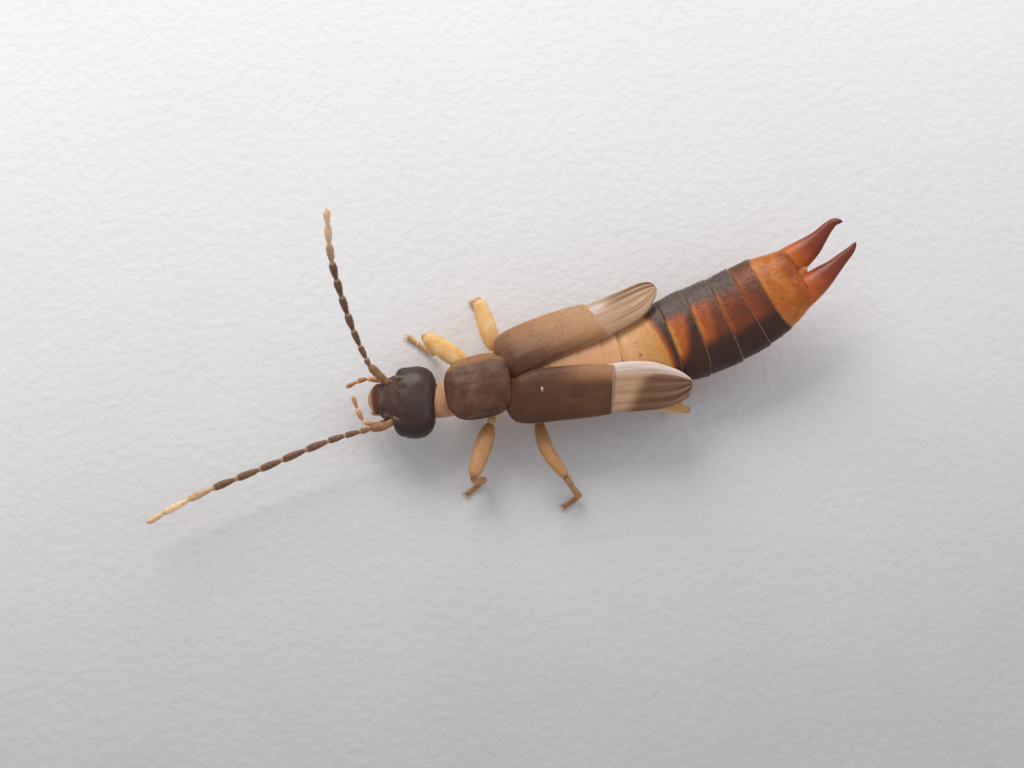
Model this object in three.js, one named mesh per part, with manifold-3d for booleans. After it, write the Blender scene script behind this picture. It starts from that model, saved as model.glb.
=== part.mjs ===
// A small pale-legged earwig, an adult female, at life size, standing on its six feet.
// Millimetres, +Z up. The head is towards -X, the tail towards +X, the animal's right side is +Y.
import * as THREE from 'three';
import * as BufferGeometryUtils from 'three/addons/utils/BufferGeometryUtils.js';
import Module from 'manifold-3d';

const wasm = await Module();
wasm.setup();

// Driving dimensions, in millimetres unless a name says otherwise
const GAP = 0.02; // clear space between neighbouring pieces
const TRUNK_HEIGHT = 0.55; // middle of the thorax above the floor
const HEAD_LENGTH = 0.66; // nape to front edge of the clypeus
const HEAD_HALF_WIDTH = 0.435; // across the eyes, halved
const HEAD_YAW = -11; // degrees, the head looks a little to the animal's right
const HEAD_PITCH = -8; // degrees, the mouth is lower than the nape
const PRONOTUM_LENGTH = 0.8;
const PRONOTUM_HALF_WIDTH = 0.385;
const TEGMEN_LENGTH = 1.28;
const TEGMEN_HALF_WIDTH = 0.302;
const HINDWING_HALF_WIDTH = 0.27;
const ABDOMEN_HALF_WIDTH = 0.55;
const ABDOMEN_HALF_HEIGHT = 0.29;
const SEGMENT_STEP = 0.014; // how far a rear margin stands over the next segment
const FORCEPS_BASE_HALF_WIDTH = 0.165;
const EYE_SPREAD = 0.345; // each eye's rear end from the middle line of the head
const EYE_LEAN = 0.1; // how far the eyes draw together over one millimetre forward
const FEELER_RADIUS = 0.075; // the solids of the feelers are a little stouter than life
const FEELER_JOINTS = { right: 10, left: 11 }; // joints of each whip
const PALP_RADIUS = 0.06;
const HIP_RADIUS = 0.085; // femur where it leaves the thorax
const KNEE_RADIUS = 0.075;
const FEMUR_FLATNESS = 0.75; // height of a femur as a share of its width
const TIBIA_RADIUS = 0.07; // the solids of the shins and feet are a little stouter than life too
const TARSUS_RADIUS = 0.07;
const HEEL_HEIGHT = 0.05; // middle of a tarsus where it leaves the ankle
const WELD_DISTANCE = 1e-5; // points nearer than this are one point

const Z_AXIS = new THREE.Vector3(0, 0, 1);
const point = (x, y, z) => new THREE.Vector3(x, y, z);
const curveThrough = (...points) => new THREE.CatmullRomCurve3(points, false, 'centripetal');

const PALETTE = {
  headShell: { color: 0x3b2721, roughness: 0.45, metalness: 0 },
  eyeShell: { color: 0x241a18, roughness: 0.3, metalness: 0 },
  mouth: { color: 0x7a4630, roughness: 0.5, metalness: 0 },
  feeler: { color: 0x6e4a35, roughness: 0.55, metalness: 0 },
  palp: { color: 0xc9854a, roughness: 0.5, metalness: 0 },
  membrane: { color: 0xcf9f72, roughness: 0.6, metalness: 0 },
  pronotumShell: { color: 0x6b5043, roughness: 0.5, metalness: 0 },
  tegmenShell: { color: 0x6e4f3d, roughness: 0.5, metalness: 0 },
  hindwingShell: { color: 0xa98a6f, roughness: 0.55, metalness: 0 },
  darkSegment: { color: 0x5a3526, roughness: 0.4, metalness: 0 },
  orangeSegment: { color: 0xb5652a, roughness: 0.4, metalness: 0 },
  forcepsShell: { color: 0x8b4330, roughness: 0.35, metalness: 0 },
  leg: { color: 0xd9a45a, roughness: 0.5, metalness: 0 },
};

// One closed body from rings of points, each end closed on the middle of its ring
function closedLoft(rings) {
  const sides = rings[0].length;
  const positions = rings.flat().flatMap((p) => p.toArray());
  const faces = [];
  for (let r = 0; r < rings.length - 1; r += 1) {
    for (let s = 0; s < sides; s += 1) {
      const a = r * sides + s;
      const b = r * sides + ((s + 1) % sides);
      faces.push(a, b, b + sides, a, b + sides, a + sides);
    }
  }
  const closeEnd = (firstIndex, ring, flip) => {
    const middle = ring.reduce((sum, p) => sum.add(p), point(0, 0, 0)).divideScalar(sides);
    const middleIndex = positions.length / 3;
    positions.push(...middle.toArray());
    for (let s = 0; s < sides; s += 1) {
      const a = firstIndex + s;
      const b = firstIndex + ((s + 1) % sides);
      faces.push(middleIndex, ...(flip ? [b, a] : [a, b]));
    }
  };
  closeEnd(0, rings[0], true);
  closeEnd((rings.length - 1) * sides, rings.at(-1), false);
  const geometry = new THREE.BufferGeometry();
  geometry.setAttribute('position', new THREE.Float32BufferAttribute(positions, 3));
  geometry.setIndex(faces);
  return geometry;
}

// A rounded section at right angles to the path: half width, height above and height below
function sectionRing(middle, forward, [halfWidth, top, bottom], { sides, power, roll }) {
  const side = new THREE.Vector3().crossVectors(Z_AXIS, forward).normalize();
  side.applyAxisAngle(forward, THREE.MathUtils.degToRad(roll));
  const up = new THREE.Vector3().crossVectors(forward, side);
  const rounded = (value) => Math.sign(value) * Math.abs(value) ** (2 / power);
  return Array.from({ length: sides }, (_, i) => {
    const angle = (2 * Math.PI * (i + 0.5)) / sides;
    const across = halfWidth * rounded(Math.cos(angle));
    const height = (Math.sin(angle) > 0 ? top : bottom) * rounded(Math.sin(angle));
    return middle.clone().addScaledVector(side, across).addScaledVector(up, height);
  });
}

// A body along a path. Each row holds the distance along it, half width, height above and below.
// The grow value makes the same body larger all round, to cut room for it out of a neighbour.
function bodyAlong(path, rows, { sides = 16, power = 2.2, roll = 0, grow = 0 } = {}) {
  const length = path.getLength();
  const rings = rows.map(([along, ...size], i) => {
    const reach = i === 0 ? -grow : i === rows.length - 1 ? grow : 0;
    const place = THREE.MathUtils.clamp(along / length, 0, 1);
    const forward = path.getTangentAt(place).normalize();
    const overrun = along + reach - place * length;
    const middle = path.getPointAt(place).addScaledVector(forward, overrun);
    const grown = size.map((value) => value + grow);
    return sectionRing(middle, forward, grown, { sides, power, roll });
  });
  return closedLoft(rings);
}

// Rows of a limb that swells from its start to its belly and narrows to its end, with round ends
function limbRows(length, [start, belly, end], flatness, steps) {
  return Array.from({ length: steps + 1 }, (_, i) => {
    const t = i / steps;
    const swollen = THREE.MathUtils.lerp(start, belly, THREE.MathUtils.smoothstep(t, 0, 0.4));
    const tapered = THREE.MathUtils.lerp(swollen, end, THREE.MathUtils.smoothstep(t, 0.65, 1));
    const radius = tapered * (i === 0 || i === steps ? 0.6 : 1);
    return [t * length, radius, radius * flatness, radius * flatness];
  });
}

function toSolid(geometry) {
  const bare = new THREE.BufferGeometry();
  bare.setAttribute('position', geometry.getAttribute('position').clone());
  bare.setIndex(geometry.getIndex());
  const merged = BufferGeometryUtils.mergeVertices(bare, WELD_DISTANCE);
  const mesh = new wasm.Mesh({
    numProp: 3,
    vertProperties: new Float32Array(merged.getAttribute('position').array),
    triVerts: new Uint32Array(merged.getIndex().array),
  });
  return new wasm.Manifold(mesh);
}

function toGeometry(solid) {
  const mesh = solid.getMesh();
  const geometry = new THREE.BufferGeometry();
  geometry.setAttribute('position', new THREE.Float32BufferAttribute(mesh.vertProperties, 3));
  geometry.setIndex(Array.from(mesh.triVerts));
  return geometry;
}

// The first body with room cut out of it for each of the others
function clearOf(geometry, ...others) {
  const cut = others.reduce((solid, other) => solid.subtract(toSolid(other)), toSolid(geometry));
  return toGeometry(cut);
}

function piece(name, geometry, finish) {
  geometry.computeVertexNormals();
  const mesh = new THREE.Mesh(geometry, new THREE.MeshStandardMaterial(finish));
  mesh.name = name;
  return mesh;
}

const animal = new THREE.Group();

// Head: a flat, heart-shaped capsule, widest across the eyes and narrow at the clypeus
const headMiddle = point(-0.53, -0.1, 0.56);
const headTurn = new THREE.Euler(
  0,
  THREE.MathUtils.degToRad(HEAD_PITCH),
  THREE.MathUtils.degToRad(HEAD_YAW),
  'ZYX',
);
const headPath = new THREE.LineCurve3(point(0, 0, 0), point(-1, 0, 0));
const headRows = [
  [0, 0.27, 0.14, 0.12],
  [0.03, 0.35, 0.17, 0.16],
  [0.11, 0.42, 0.195, 0.19],
  [0.22, HEAD_HALF_WIDTH, 0.205, 0.2],
  [0.34, 0.425, 0.205, 0.2],
  [0.43, 0.375, 0.195, 0.19],
  [0.5, 0.29, 0.17, 0.17],
  [0.59, 0.235, 0.13, 0.15],
  [HEAD_LENGTH, 0.205, 0.09, 0.12],
];
const labrumRows = [
  [HEAD_LENGTH + GAP, 0.19, 0.07, 0.12],
  [0.72, 0.18, 0.06, 0.11],
  [0.77, 0.14, 0.04, 0.08],
  [0.8, 0.07, 0.02, 0.04],
];
const eyeRows = [
  [0.22, 0.03, 0.04, 0.04],
  [0.26, 0.08, 0.09, 0.09],
  [0.34, 0.1, 0.115, 0.11],
  [0.42, 0.08, 0.09, 0.09],
  [0.46, 0.03, 0.04, 0.04],
];
const headOptions = { sides: 18, power: 2.3 };

function eyeBody(sign, grow) {
  const from = point(0, sign * EYE_SPREAD, 0.02);
  const to = point(-1, sign * (EYE_SPREAD - EYE_LEAN), 0.02);
  const path = new THREE.LineCurve3(from, to);
  return bodyAlong(path, eyeRows, { sides: 10, power: 2, grow });
}

const head = new THREE.Group();
head.position.copy(headMiddle);
head.rotation.copy(headTurn);
const headShell = clearOf(
  bodyAlong(headPath, headRows, headOptions),
  eyeBody(1, GAP),
  eyeBody(-1, GAP),
);
head.add(piece('head', headShell, PALETTE.headShell));
head.add(piece('labrum', bodyAlong(headPath, labrumRows, { sides: 16 }), PALETTE.mouth));
head.add(piece('eye_right', eyeBody(1, 0), PALETTE.eyeShell));
head.add(piece('eye_left', eyeBody(-1, 0), PALETTE.eyeShell));
animal.add(head);

// The same head shape in the animal's frame, with room round it, for what grows from it
function headRoom() {
  const turn = new THREE.Matrix4().makeRotationFromEuler(headTurn).setPosition(headMiddle);
  const shell = bodyAlong(headPath, headRows, { ...headOptions, grow: GAP });
  const mouth = bodyAlong(headPath, labrumRows, { sides: 16, grow: GAP });
  return [shell.applyMatrix4(turn), mouth.applyMatrix4(turn)];
}

// Feelers: a long first joint, a short one, then spindle-shaped joints of nearly one length
function feelerRows(length, jointLength) {
  const rows = [[0, 0.8]];
  for (let along = 0; along < length - jointLength / 2; along += jointLength) {
    rows.push([along + 0.18 * jointLength, 0.8]);
    rows.push([along + 0.6 * jointLength, 1.05]);
    rows.push([along + 0.92 * jointLength, 0.72]);
  }
  rows.push([length, 0.45]);
  return rows.map(([along, share]) => {
    const radius = share * FEELER_RADIUS;
    return [along, radius, radius, radius];
  });
}

const feelers = {
  right: {
    base: curveThrough(
      point(-1.02, 0.2, 0.61),
      point(-1.13, 0.3, 0.66),
      point(-1.26, 0.45, 0.74),
    ),
    whip: curveThrough(
      point(-1.27, 0.47, 0.75),
      point(-1.36, 0.78, 0.93),
      point(-1.45, 1.18, 1.35),
      point(-1.487, 1.52, 1.75),
      point(-1.45, 1.95, 2.15),
    ),
  },
  left: {
    base: curveThrough(
      point(-1.03, -0.24, 0.6),
      point(-1.17, -0.3, 0.61),
      point(-1.36, -0.31, 0.61),
    ),
    whip: curveThrough(
      point(-1.38, -0.31, 0.61),
      point(-1.8, -0.37, 0.58),
      point(-2.61, -0.57, 0.53),
      point(-3.46, -0.79, 0.5),
      point(-4.1, -1.03, 0.48),
    ),
  },
};
const scapeRadii = [0.8, 1.15, 0.85].map((share) => share * FEELER_RADIUS);
for (const [side, { base, whip }] of Object.entries(feelers)) {
  const baseRows = limbRows(base.getLength(), scapeRadii, 1, 6);
  const scapeBody = (grow) => bodyAlong(base, baseRows, { sides: 10, power: 2, grow });
  const scape = clearOf(scapeBody(0), ...headRoom());
  animal.add(piece(`antenna_${side}_scape`, scape, PALETTE.feeler));
  const whipLength = whip.getLength();
  const whipRows = feelerRows(whipLength, whipLength / FEELER_JOINTS[side]);
  const whipBody = bodyAlong(whip, whipRows, { sides: 8, power: 2 });
  const flagellum = clearOf(whipBody, scapeBody(GAP));
  animal.add(piece(`antenna_${side}_flagellum`, flagellum, PALETTE.feeler));
}

// Palps: jointed feelers of the mouth, one each side
const palps = {
  right: curveThrough(
    point(-1.1, 0.26, 0.46),
    point(-1.31, 0.35, 0.44),
    point(-1.58, 0.31, 0.34),
  ),
  left: curveThrough(
    point(-1.14, -0.12, 0.46),
    point(-1.39, -0.13, 0.44),
    point(-1.49, 0.15, 0.34),
  ),
};
const palpRadii = [1, 0.9, 0.8].map((share) => share * PALP_RADIUS);
for (const [side, path] of Object.entries(palps)) {
  const rows = limbRows(path.getLength(), palpRadii, 1, 6);
  const palp = clearOf(bodyAlong(path, rows, { sides: 8, power: 2 }), ...headRoom());
  animal.add(piece(`palp_${side}`, palp, PALETTE.palp));
}

// Neck: the soft collar between the head and the pronotum
const neckPath = new THREE.LineCurve3(point(-0.46, -0.04, 0.55), point(-0.3, 0, 0.56));
const neckRows = [
  [-0.03, 0.2, 0.12, 0.14],
  [0.05, 0.23, 0.14, 0.16],
  [0.12, 0.25, 0.13, 0.18],
];

// Pronotum: a near square shield with rounded corners, a low dome on a thin rim
const pronotumPath = new THREE.LineCurve3(point(-0.4, 0, 0.66), point(0.4, 0, 0.68));
const pronotumRows = [
  [0, 0.25, 0.08, 0.04],
  [0.035, 0.32, 0.12, 0.05],
  [0.13, 0.37, 0.165, 0.05],
  [0.3, PRONOTUM_HALF_WIDTH, 0.185, 0.05],
  [0.55, PRONOTUM_HALF_WIDTH, 0.185, 0.05],
  [0.7, 0.365, 0.175, 0.05],
  [0.77, 0.32, 0.155, 0.05],
  [PRONOTUM_LENGTH, 0.25, 0.12, 0.04],
];
const pronotumBody = (grow) => bodyAlong(pronotumPath, pronotumRows, { sides: 20, power: 2.5, grow });
const neck = clearOf(bodyAlong(neckPath, neckRows), ...headRoom(), pronotumBody(GAP));
animal.add(piece('neck', neck, PALETTE.membrane));
animal.add(piece('pronotum', pronotumBody(0), PALETTE.pronotumShell));

// Front of the thorax, below the pronotum
const breastPath = new THREE.LineCurve3(point(-0.3, 0, 0.46), point(0.36, 0, 0.46));
const breastRows = [
  [0.02, 0.2, 0.17, 0.13],
  [0.15, 0.27, 0.2, 0.17],
  [0.5, 0.29, 0.2, 0.18],
  [0.64, 0.28, 0.2, 0.17],
];
const breastBody = (grow) => bodyAlong(breastPath, breastRows, { grow });
const neckRoom = bodyAlong(neckPath, neckRows, { grow: GAP });
const breast = clearOf(breastBody(0), pronotumBody(GAP), neckRoom);
animal.add(piece('prothorax', breast, PALETTE.membrane));

// Tegmina: short leathery wing cases, spread in a narrow V, the inner edge higher than the outer
const tegmina = {
  right: { from: point(0.27, 0.19, 0.76), to: point(1.5, 0.56, 0.8), roll: -16 },
  left: { from: point(0.29, -0.2, 0.76), to: point(1.57, -0.27, 0.8), roll: 14 },
};
const tegmenRows = [
  [0, 0.15, 0.05, 0.05],
  [0.05, 0.235, 0.08, 0.08],
  [0.15, 0.285, 0.11, 0.11],
  [0.3, TEGMEN_HALF_WIDTH, 0.12, 0.13],
  [0.85, 0.284, 0.12, 0.13],
  [TEGMEN_LENGTH - 0.03, 0.255, 0.11, 0.12],
  [TEGMEN_LENGTH, 0.245, 0.09, 0.1],
];
function tegmenBody(side, grow) {
  const { from, to, roll } = tegmina[side];
  return bodyAlong(new THREE.LineCurve3(from, to), tegmenRows, { sides: 18, power: 2.6, roll, grow });
}

// Folded hind wings: what shows of them behind the wing cases, rounded at the tip
const hindwings = {
  right: { from: point(1.46, 0.56, 0.78), to: point(2.3, 0.87, 0.81), length: 0.84, roll: -12 },
  left: { from: point(1.53, -0.27, 0.78), to: point(2.56, -0.35, 0.81), length: 0.95, roll: 10 },
};
const hindwingRows = (length) => [
  [0.02, 0.235, 0.07, 0.09],
  [0.3 * length, HINDWING_HALF_WIDTH, 0.07, 0.09],
  [0.6 * length, 0.25, 0.07, 0.08],
  [0.8 * length, 0.2, 0.06, 0.07],
  [0.93 * length, 0.13, 0.05, 0.05],
  [length, 0.05, 0.03, 0.03],
];
function hindwingBody(side, grow) {
  const { from, to, length, roll } = hindwings[side];
  const path = new THREE.LineCurve3(from, to);
  return bodyAlong(path, hindwingRows(length), { sides: 16, power: 2.6, roll, grow });
}

// The left wing case lies over the right one at the seam, so the right one is cut to fit
const leftCase = clearOf(tegmenBody('left', 0), pronotumBody(GAP));
const rightCase = clearOf(tegmenBody('right', 0), tegmenBody('left', GAP), pronotumBody(GAP));
animal.add(piece('tegmen_left', leftCase, PALETTE.tegmenShell));
animal.add(piece('tegmen_right', rightCase, PALETTE.tegmenShell));
for (const side of ['right', 'left']) {
  const wing = clearOf(hindwingBody(side, 0), tegmenBody(side, GAP));
  animal.add(piece(`hindwing_${side}`, wing, PALETTE.hindwingShell));
}
const wingRoom = () => [
  tegmenBody('right', GAP),
  tegmenBody('left', GAP),
  hindwingBody('right', GAP),
  hindwingBody('left', GAP),
];

// Rear of the thorax, below the wing cases
const thoraxPath = new THREE.LineCurve3(point(0.36, 0, TRUNK_HEIGHT), point(1.68, 0.1, TRUNK_HEIGHT));
const thoraxRows = [
  [0.09, 0.28, 0.275, 0.25],
  [0.3, 0.32, 0.3, 0.27],
  [0.8, 0.36, 0.3, 0.27],
  [1.3, 0.37, 0.28, 0.25],
];
const thoraxBody = (grow) => bodyAlong(thoraxPath, thoraxRows, { sides: 18, grow });
const thorax = clearOf(thoraxBody(0), ...wingRoom());
animal.add(piece('thorax', thorax, PALETTE.membrane));

// Abdomen: telescoped segments on one path that bends to the animal's right and rises to the tail
const abdomenPath = curveThrough(
  point(1.7, 0.1, 0.56),
  point(2.39, 0.245, 0.59),
  point(3.05, 0.405, 0.65),
  point(3.63, 0.61, 0.78),
  point(4.1, 0.8, 0.92),
);
// Distance along the path, half width and half height as shares of the abdomen's largest
const abdomenKnots = [
  [0, 0.68, 0.9],
  [0.35, 0.82, 0.93],
  [0.72, 0.955, 0.96],
  [1.02, 1, 1],
  [1.4, 0.985, 1],
  [1.74, 0.94, 0.97],
  [2.04, 0.85, 0.92],
  [2.3, 0.73, 0.8],
  [2.44, 0.66, 0.68],
];
function abdomenSize(along) {
  const next = Math.max(1, abdomenKnots.findIndex(([place]) => place >= along));
  const [fromPlace, fromWidth, fromHeight] = abdomenKnots[next - 1];
  const [toPlace, toWidth, toHeight] = abdomenKnots[next];
  const share = (along - fromPlace) / (toPlace - fromPlace);
  const halfWidth = ABDOMEN_HALF_WIDTH * THREE.MathUtils.lerp(fromWidth, toWidth, share);
  const halfHeight = ABDOMEN_HALF_HEIGHT * THREE.MathUtils.lerp(fromHeight, toHeight, share);
  return [halfWidth, halfHeight, halfHeight];
}

// One length of the abdomen, flared a little towards its rear margin
function segmentBody(start, end, steps) {
  const rows = Array.from({ length: steps + 1 }, (_, i) => {
    const share = i / steps;
    const along = THREE.MathUtils.lerp(start + GAP, end, share);
    const flare = SEGMENT_STEP * share - SEGMENT_STEP / 2;
    return [along, ...abdomenSize(along).map((value) => value + flare)];
  });
  return bodyAlong(abdomenPath, rows, { sides: 22, power: 2.1 });
}
const segments = [
  { name: 'abdomen_base', from: 0, to: 0.65, finish: PALETTE.orangeSegment },
  { name: 'abdomen_4', from: 0.65, to: 0.98, finish: PALETTE.darkSegment },
  { name: 'abdomen_5', from: 0.98, to: 1.38, finish: PALETTE.darkSegment },
  { name: 'abdomen_6', from: 1.38, to: 1.72, finish: PALETTE.darkSegment },
  { name: 'abdomen_7', from: 1.72, to: 2.03, finish: PALETTE.darkSegment },
  { name: 'abdomen_last', from: 2.03, to: 2.39, finish: PALETTE.orangeSegment },
];
for (const { name, from, to, finish } of segments) {
  const steps = name === 'abdomen_base' ? 5 : 3;
  const body = segmentBody(from, to, steps);
  const needsRoom = from < 1.02;
  animal.add(piece(name, needsRoom ? clearOf(body, ...wingRoom(), thoraxBody(GAP)) : body, finish));
}

// Forceps: two short tapering arms, broad at the base, the tips hooked inwards, and the plate between
const forceps = {
  right: curveThrough(
    point(3.93, 0.93, 0.87),
    point(4.187, 1.032, 0.97),
    point(4.321, 1.145, 1.03),
    point(4.44, 1.256, 1.1),
    point(4.553, 1.263, 1.16),
  ),
  left: curveThrough(
    point(4.0, 0.55, 0.87),
    point(4.255, 0.68, 0.97),
    point(4.452, 0.808, 1.03),
    point(4.589, 0.891, 1.1),
    point(4.676, 0.984, 1.16),
  ),
};
const forcepsRows = (length) => [
  [0, FORCEPS_BASE_HALF_WIDTH, 0.12, 0.11],
  [0.2 * length, 0.15, 0.11, 0.1],
  [0.4 * length, 0.115, 0.085, 0.08],
  [0.6 * length, 0.085, 0.065, 0.06],
  [0.8 * length, 0.055, 0.05, 0.045],
  [0.93 * length, 0.035, 0.032, 0.03],
  [length, 0.014, 0.014, 0.014],
];
const lastSegment = segments.at(-1);
const tailRows = [lastSegment.from, lastSegment.to].map((along) => [along, ...abdomenSize(along)]);
const tailRoom = () => bodyAlong(abdomenPath, tailRows, { sides: 22, power: 2.1, grow: GAP });
for (const [side, path] of Object.entries(forceps)) {
  const arm = bodyAlong(path, forcepsRows(path.getLength()), { sides: 12, power: 2 });
  animal.add(piece(`forceps_${side}`, clearOf(arm, tailRoom()), PALETTE.forcepsShell));
}
const pygidiumPath = new THREE.LineCurve3(point(3.95, 0.76, 0.89), point(4.15, 0.85, 0.95));
const pygidiumRows = [
  [0.08, 0.05, 0.05, 0.05],
  [0.13, 0.045, 0.045, 0.045],
  [0.19, 0.02, 0.02, 0.02],
];
const pygidium = bodyAlong(pygidiumPath, pygidiumRows, { sides: 10 });
animal.add(piece('pygidium', pygidium, PALETTE.orangeSegment));

// Legs: thick flat femora, slim tibiae, and tarsi that lie flat on the floor
const legs = {
  left_fore: {
    halfWidth: 0.12,
    hip: point(0.2, -0.16, 0.36),
    knee: point(-0.21, -1.05, 0.5),
    ankle: point(-0.08, -1.01, 0.1),
    toe: point(-0.31, -1.14, 0.04),
  },
  left_mid: {
    halfWidth: 0.085,
    hip: point(0.52, -0.16, 0.36),
    knee: point(0.88, -1.2, 0.5),
    ankle: point(1.02, -1.37, 0.1),
    toe: point(0.83, -1.46, 0.04),
  },
  left_hind: {
    halfWidth: 0.085,
    hip: point(1.3, -0.16, 0.36),
    knee: point(2.45, -0.59, 0.46),
    ankle: point(2.3, -0.44, 0.1),
    toe: point(2.53, -0.3, 0.04),
  },
  right_fore: {
    halfWidth: 0.12,
    hip: point(0.04, 0.25, 0.36),
    knee: point(-0.55, 0.77, 0.5),
    ankle: point(-0.46, 0.64, 0.1),
    toe: point(-0.75, 0.92, 0.04),
  },
  right_mid: {
    halfWidth: 0.11,
    hip: point(0.31, 0.25, 0.36),
    knee: point(0.16, 1.12, 0.55),
    ankle: point(0.19, 0.98, 0.1),
    toe: point(0.09, 1.26, 0.04),
  },
  right_hind: {
    halfWidth: 0.085,
    hip: point(1.36, 0.3, 0.36),
    knee: point(2.12, 0.88, 0.46),
    ankle: point(2.05, 0.84, 0.1),
    toe: point(2.24, 0.95, 0.04),
  },
};
const tibiaRadii = [TIBIA_RADIUS, TIBIA_RADIUS, 0.85 * TIBIA_RADIUS];
const tarsusRadii = [TARSUS_RADIUS, TARSUS_RADIUS, 0.7 * TARSUS_RADIUS];

function keepAboveFloor(geometry) {
  const place = geometry.getAttribute('position');
  for (let i = 0; i < place.count; i += 1) {
    place.setZ(i, Math.max(place.getZ(i), 0));
  }
  return geometry;
}

function limb(from, to, sizes, flatness, options) {
  const path = new THREE.LineCurve3(from, to);
  return bodyAlong(path, limbRows(path.getLength(), sizes, flatness, options.steps), options);
}

for (const [name, { halfWidth, hip, knee, ankle, toe }] of Object.entries(legs)) {
  const femurRadii = [HIP_RADIUS, halfWidth, KNEE_RADIUS];
  const thick = (grow) => ({ sides: 10, power: 2, steps: 6, grow });
  const slim = (grow) => ({ sides: 8, power: 2, steps: 3, grow });
  const femurBody = (grow) => limb(hip, knee, femurRadii, FEMUR_FLATNESS, thick(grow));
  const tibiaBody = (grow) => limb(knee, ankle, tibiaRadii, 1, slim(grow));
  const heel = ankle.clone().setZ(HEEL_HEIGHT);
  const tarsusBody = keepAboveFloor(limb(heel, toe, tarsusRadii, 1, slim(0)));
  const femur = clearOf(femurBody(0), thoraxBody(GAP), breastBody(GAP));
  animal.add(piece(`leg_${name}_femur`, femur, PALETTE.leg));
  animal.add(piece(`leg_${name}_tibia`, clearOf(tibiaBody(0), femurBody(GAP)), PALETTE.leg));
  animal.add(piece(`leg_${name}_tarsus`, clearOf(tarsusBody, tibiaBody(GAP)), PALETTE.leg));
}

// The origin is on the floor, below the middle of the whole animal's box
const box = new THREE.Box3().setFromObject(animal);
const middle = box.getCenter(new THREE.Vector3());
animal.position.set(-middle.x, -middle.y, -box.min.z);

export default animal;
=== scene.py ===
# %% [markdown]
# # A small brown and amber earwig at life size
#
# The real animal is 6 mm long: a near black head on a pale neck, a brown shield, short
# leathery wing cases with folded hind wings behind them, a telescoped abdomen that turns
# from orange patches to amber, and two hooked forceps. Each of these is a thin shell or a
# soft skin, so each is worked out here as a surface: a grid of points from a formula.

import math

import bpy
import numpy as np
from mathutils import Matrix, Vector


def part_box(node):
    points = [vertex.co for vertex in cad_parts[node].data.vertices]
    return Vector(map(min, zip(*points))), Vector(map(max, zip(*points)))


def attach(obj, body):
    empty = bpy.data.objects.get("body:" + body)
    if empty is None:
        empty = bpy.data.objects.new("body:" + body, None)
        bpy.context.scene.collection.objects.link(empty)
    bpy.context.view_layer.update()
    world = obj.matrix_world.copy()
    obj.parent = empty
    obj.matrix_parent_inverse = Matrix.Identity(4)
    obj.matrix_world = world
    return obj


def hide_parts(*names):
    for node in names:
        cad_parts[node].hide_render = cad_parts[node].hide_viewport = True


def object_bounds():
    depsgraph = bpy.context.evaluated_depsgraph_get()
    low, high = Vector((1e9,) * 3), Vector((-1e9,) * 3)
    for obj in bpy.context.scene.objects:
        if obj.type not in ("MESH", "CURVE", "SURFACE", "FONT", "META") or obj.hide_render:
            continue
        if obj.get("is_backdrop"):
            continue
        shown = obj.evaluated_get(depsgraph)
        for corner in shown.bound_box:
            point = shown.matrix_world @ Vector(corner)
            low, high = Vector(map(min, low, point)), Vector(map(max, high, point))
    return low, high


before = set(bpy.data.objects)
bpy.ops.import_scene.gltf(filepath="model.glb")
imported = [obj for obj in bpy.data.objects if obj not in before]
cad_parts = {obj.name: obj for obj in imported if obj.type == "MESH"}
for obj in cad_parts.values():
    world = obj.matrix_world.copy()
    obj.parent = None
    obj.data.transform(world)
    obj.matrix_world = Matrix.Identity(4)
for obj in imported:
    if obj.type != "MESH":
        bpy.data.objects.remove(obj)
cad_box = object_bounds()
print(f"the frame has {len(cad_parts)} solids")

# %% [markdown]
# ## One scale and one place
#
# Every size below is in millimetres in the animal's own frame: the middle of the shield is
# above the origin, the tail towards +X, the animal's right side towards +Y. The frame's own
# box of the shield says where that is in the shared frame, so nothing is fitted by eye.

# %% Millimetres, and where the animal stands
MM = 0.001
shield_low, shield_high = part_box("pronotum")
STAND = np.array([shield_low.x + shield_high.x, shield_low.y + shield_high.y, 0]) / 2 / MM


def in_metres(points):
    """The animal's own millimetres in the shared frame: (point + stand) times a thousandth."""
    return (np.asarray(points) + STAND) * MM


print("the shield's middle stands at", STAND.round(3), "mm")

# %% [markdown]
# ## The camera
#
# The photo looks down steeply from the animal's left side. A camera is three directions and
# a distance, so it is worked out from two angles, the focal length in pixels, and the pixel
# where the middle of the shield shows.

# %% Set the camera
PHOTO_WIDTH = 1024
PHOTO_HEIGHT = 768
FOCAL_PIXELS = 2050
PIXELS_PER_MM = 84
SENSOR = 36
CAMERA_AZIMUTH = math.radians(-8.3)
CAMERA_ELEVATION = math.radians(75)
SHIELD_PIXEL = (478, 387)
SHIELD_MIDDLE = np.array([0, 0, 0.66])


def camera_axes(azimuth, elevation):
    """Right, up and back of a camera turned by azimuth round Z and raised by elevation."""
    right = np.array([math.cos(azimuth), math.sin(azimuth), 0])
    level = np.array([math.sin(azimuth), -math.cos(azimuth), 0])
    back = level * math.cos(elevation) + np.array([0, 0, math.sin(elevation)])
    return right, np.cross(back, right), back


right, up, back = camera_axes(CAMERA_AZIMUTH, CAMERA_ELEVATION)
off_right = (SHIELD_PIXEL[0] - PHOTO_WIDTH / 2) / PIXELS_PER_MM
off_up = (PHOTO_HEIGHT / 2 - SHIELD_PIXEL[1]) / PIXELS_PER_MM
target = SHIELD_MIDDLE - right * off_right - up * off_up
stand_off = FOCAL_PIXELS / PIXELS_PER_MM

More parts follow.
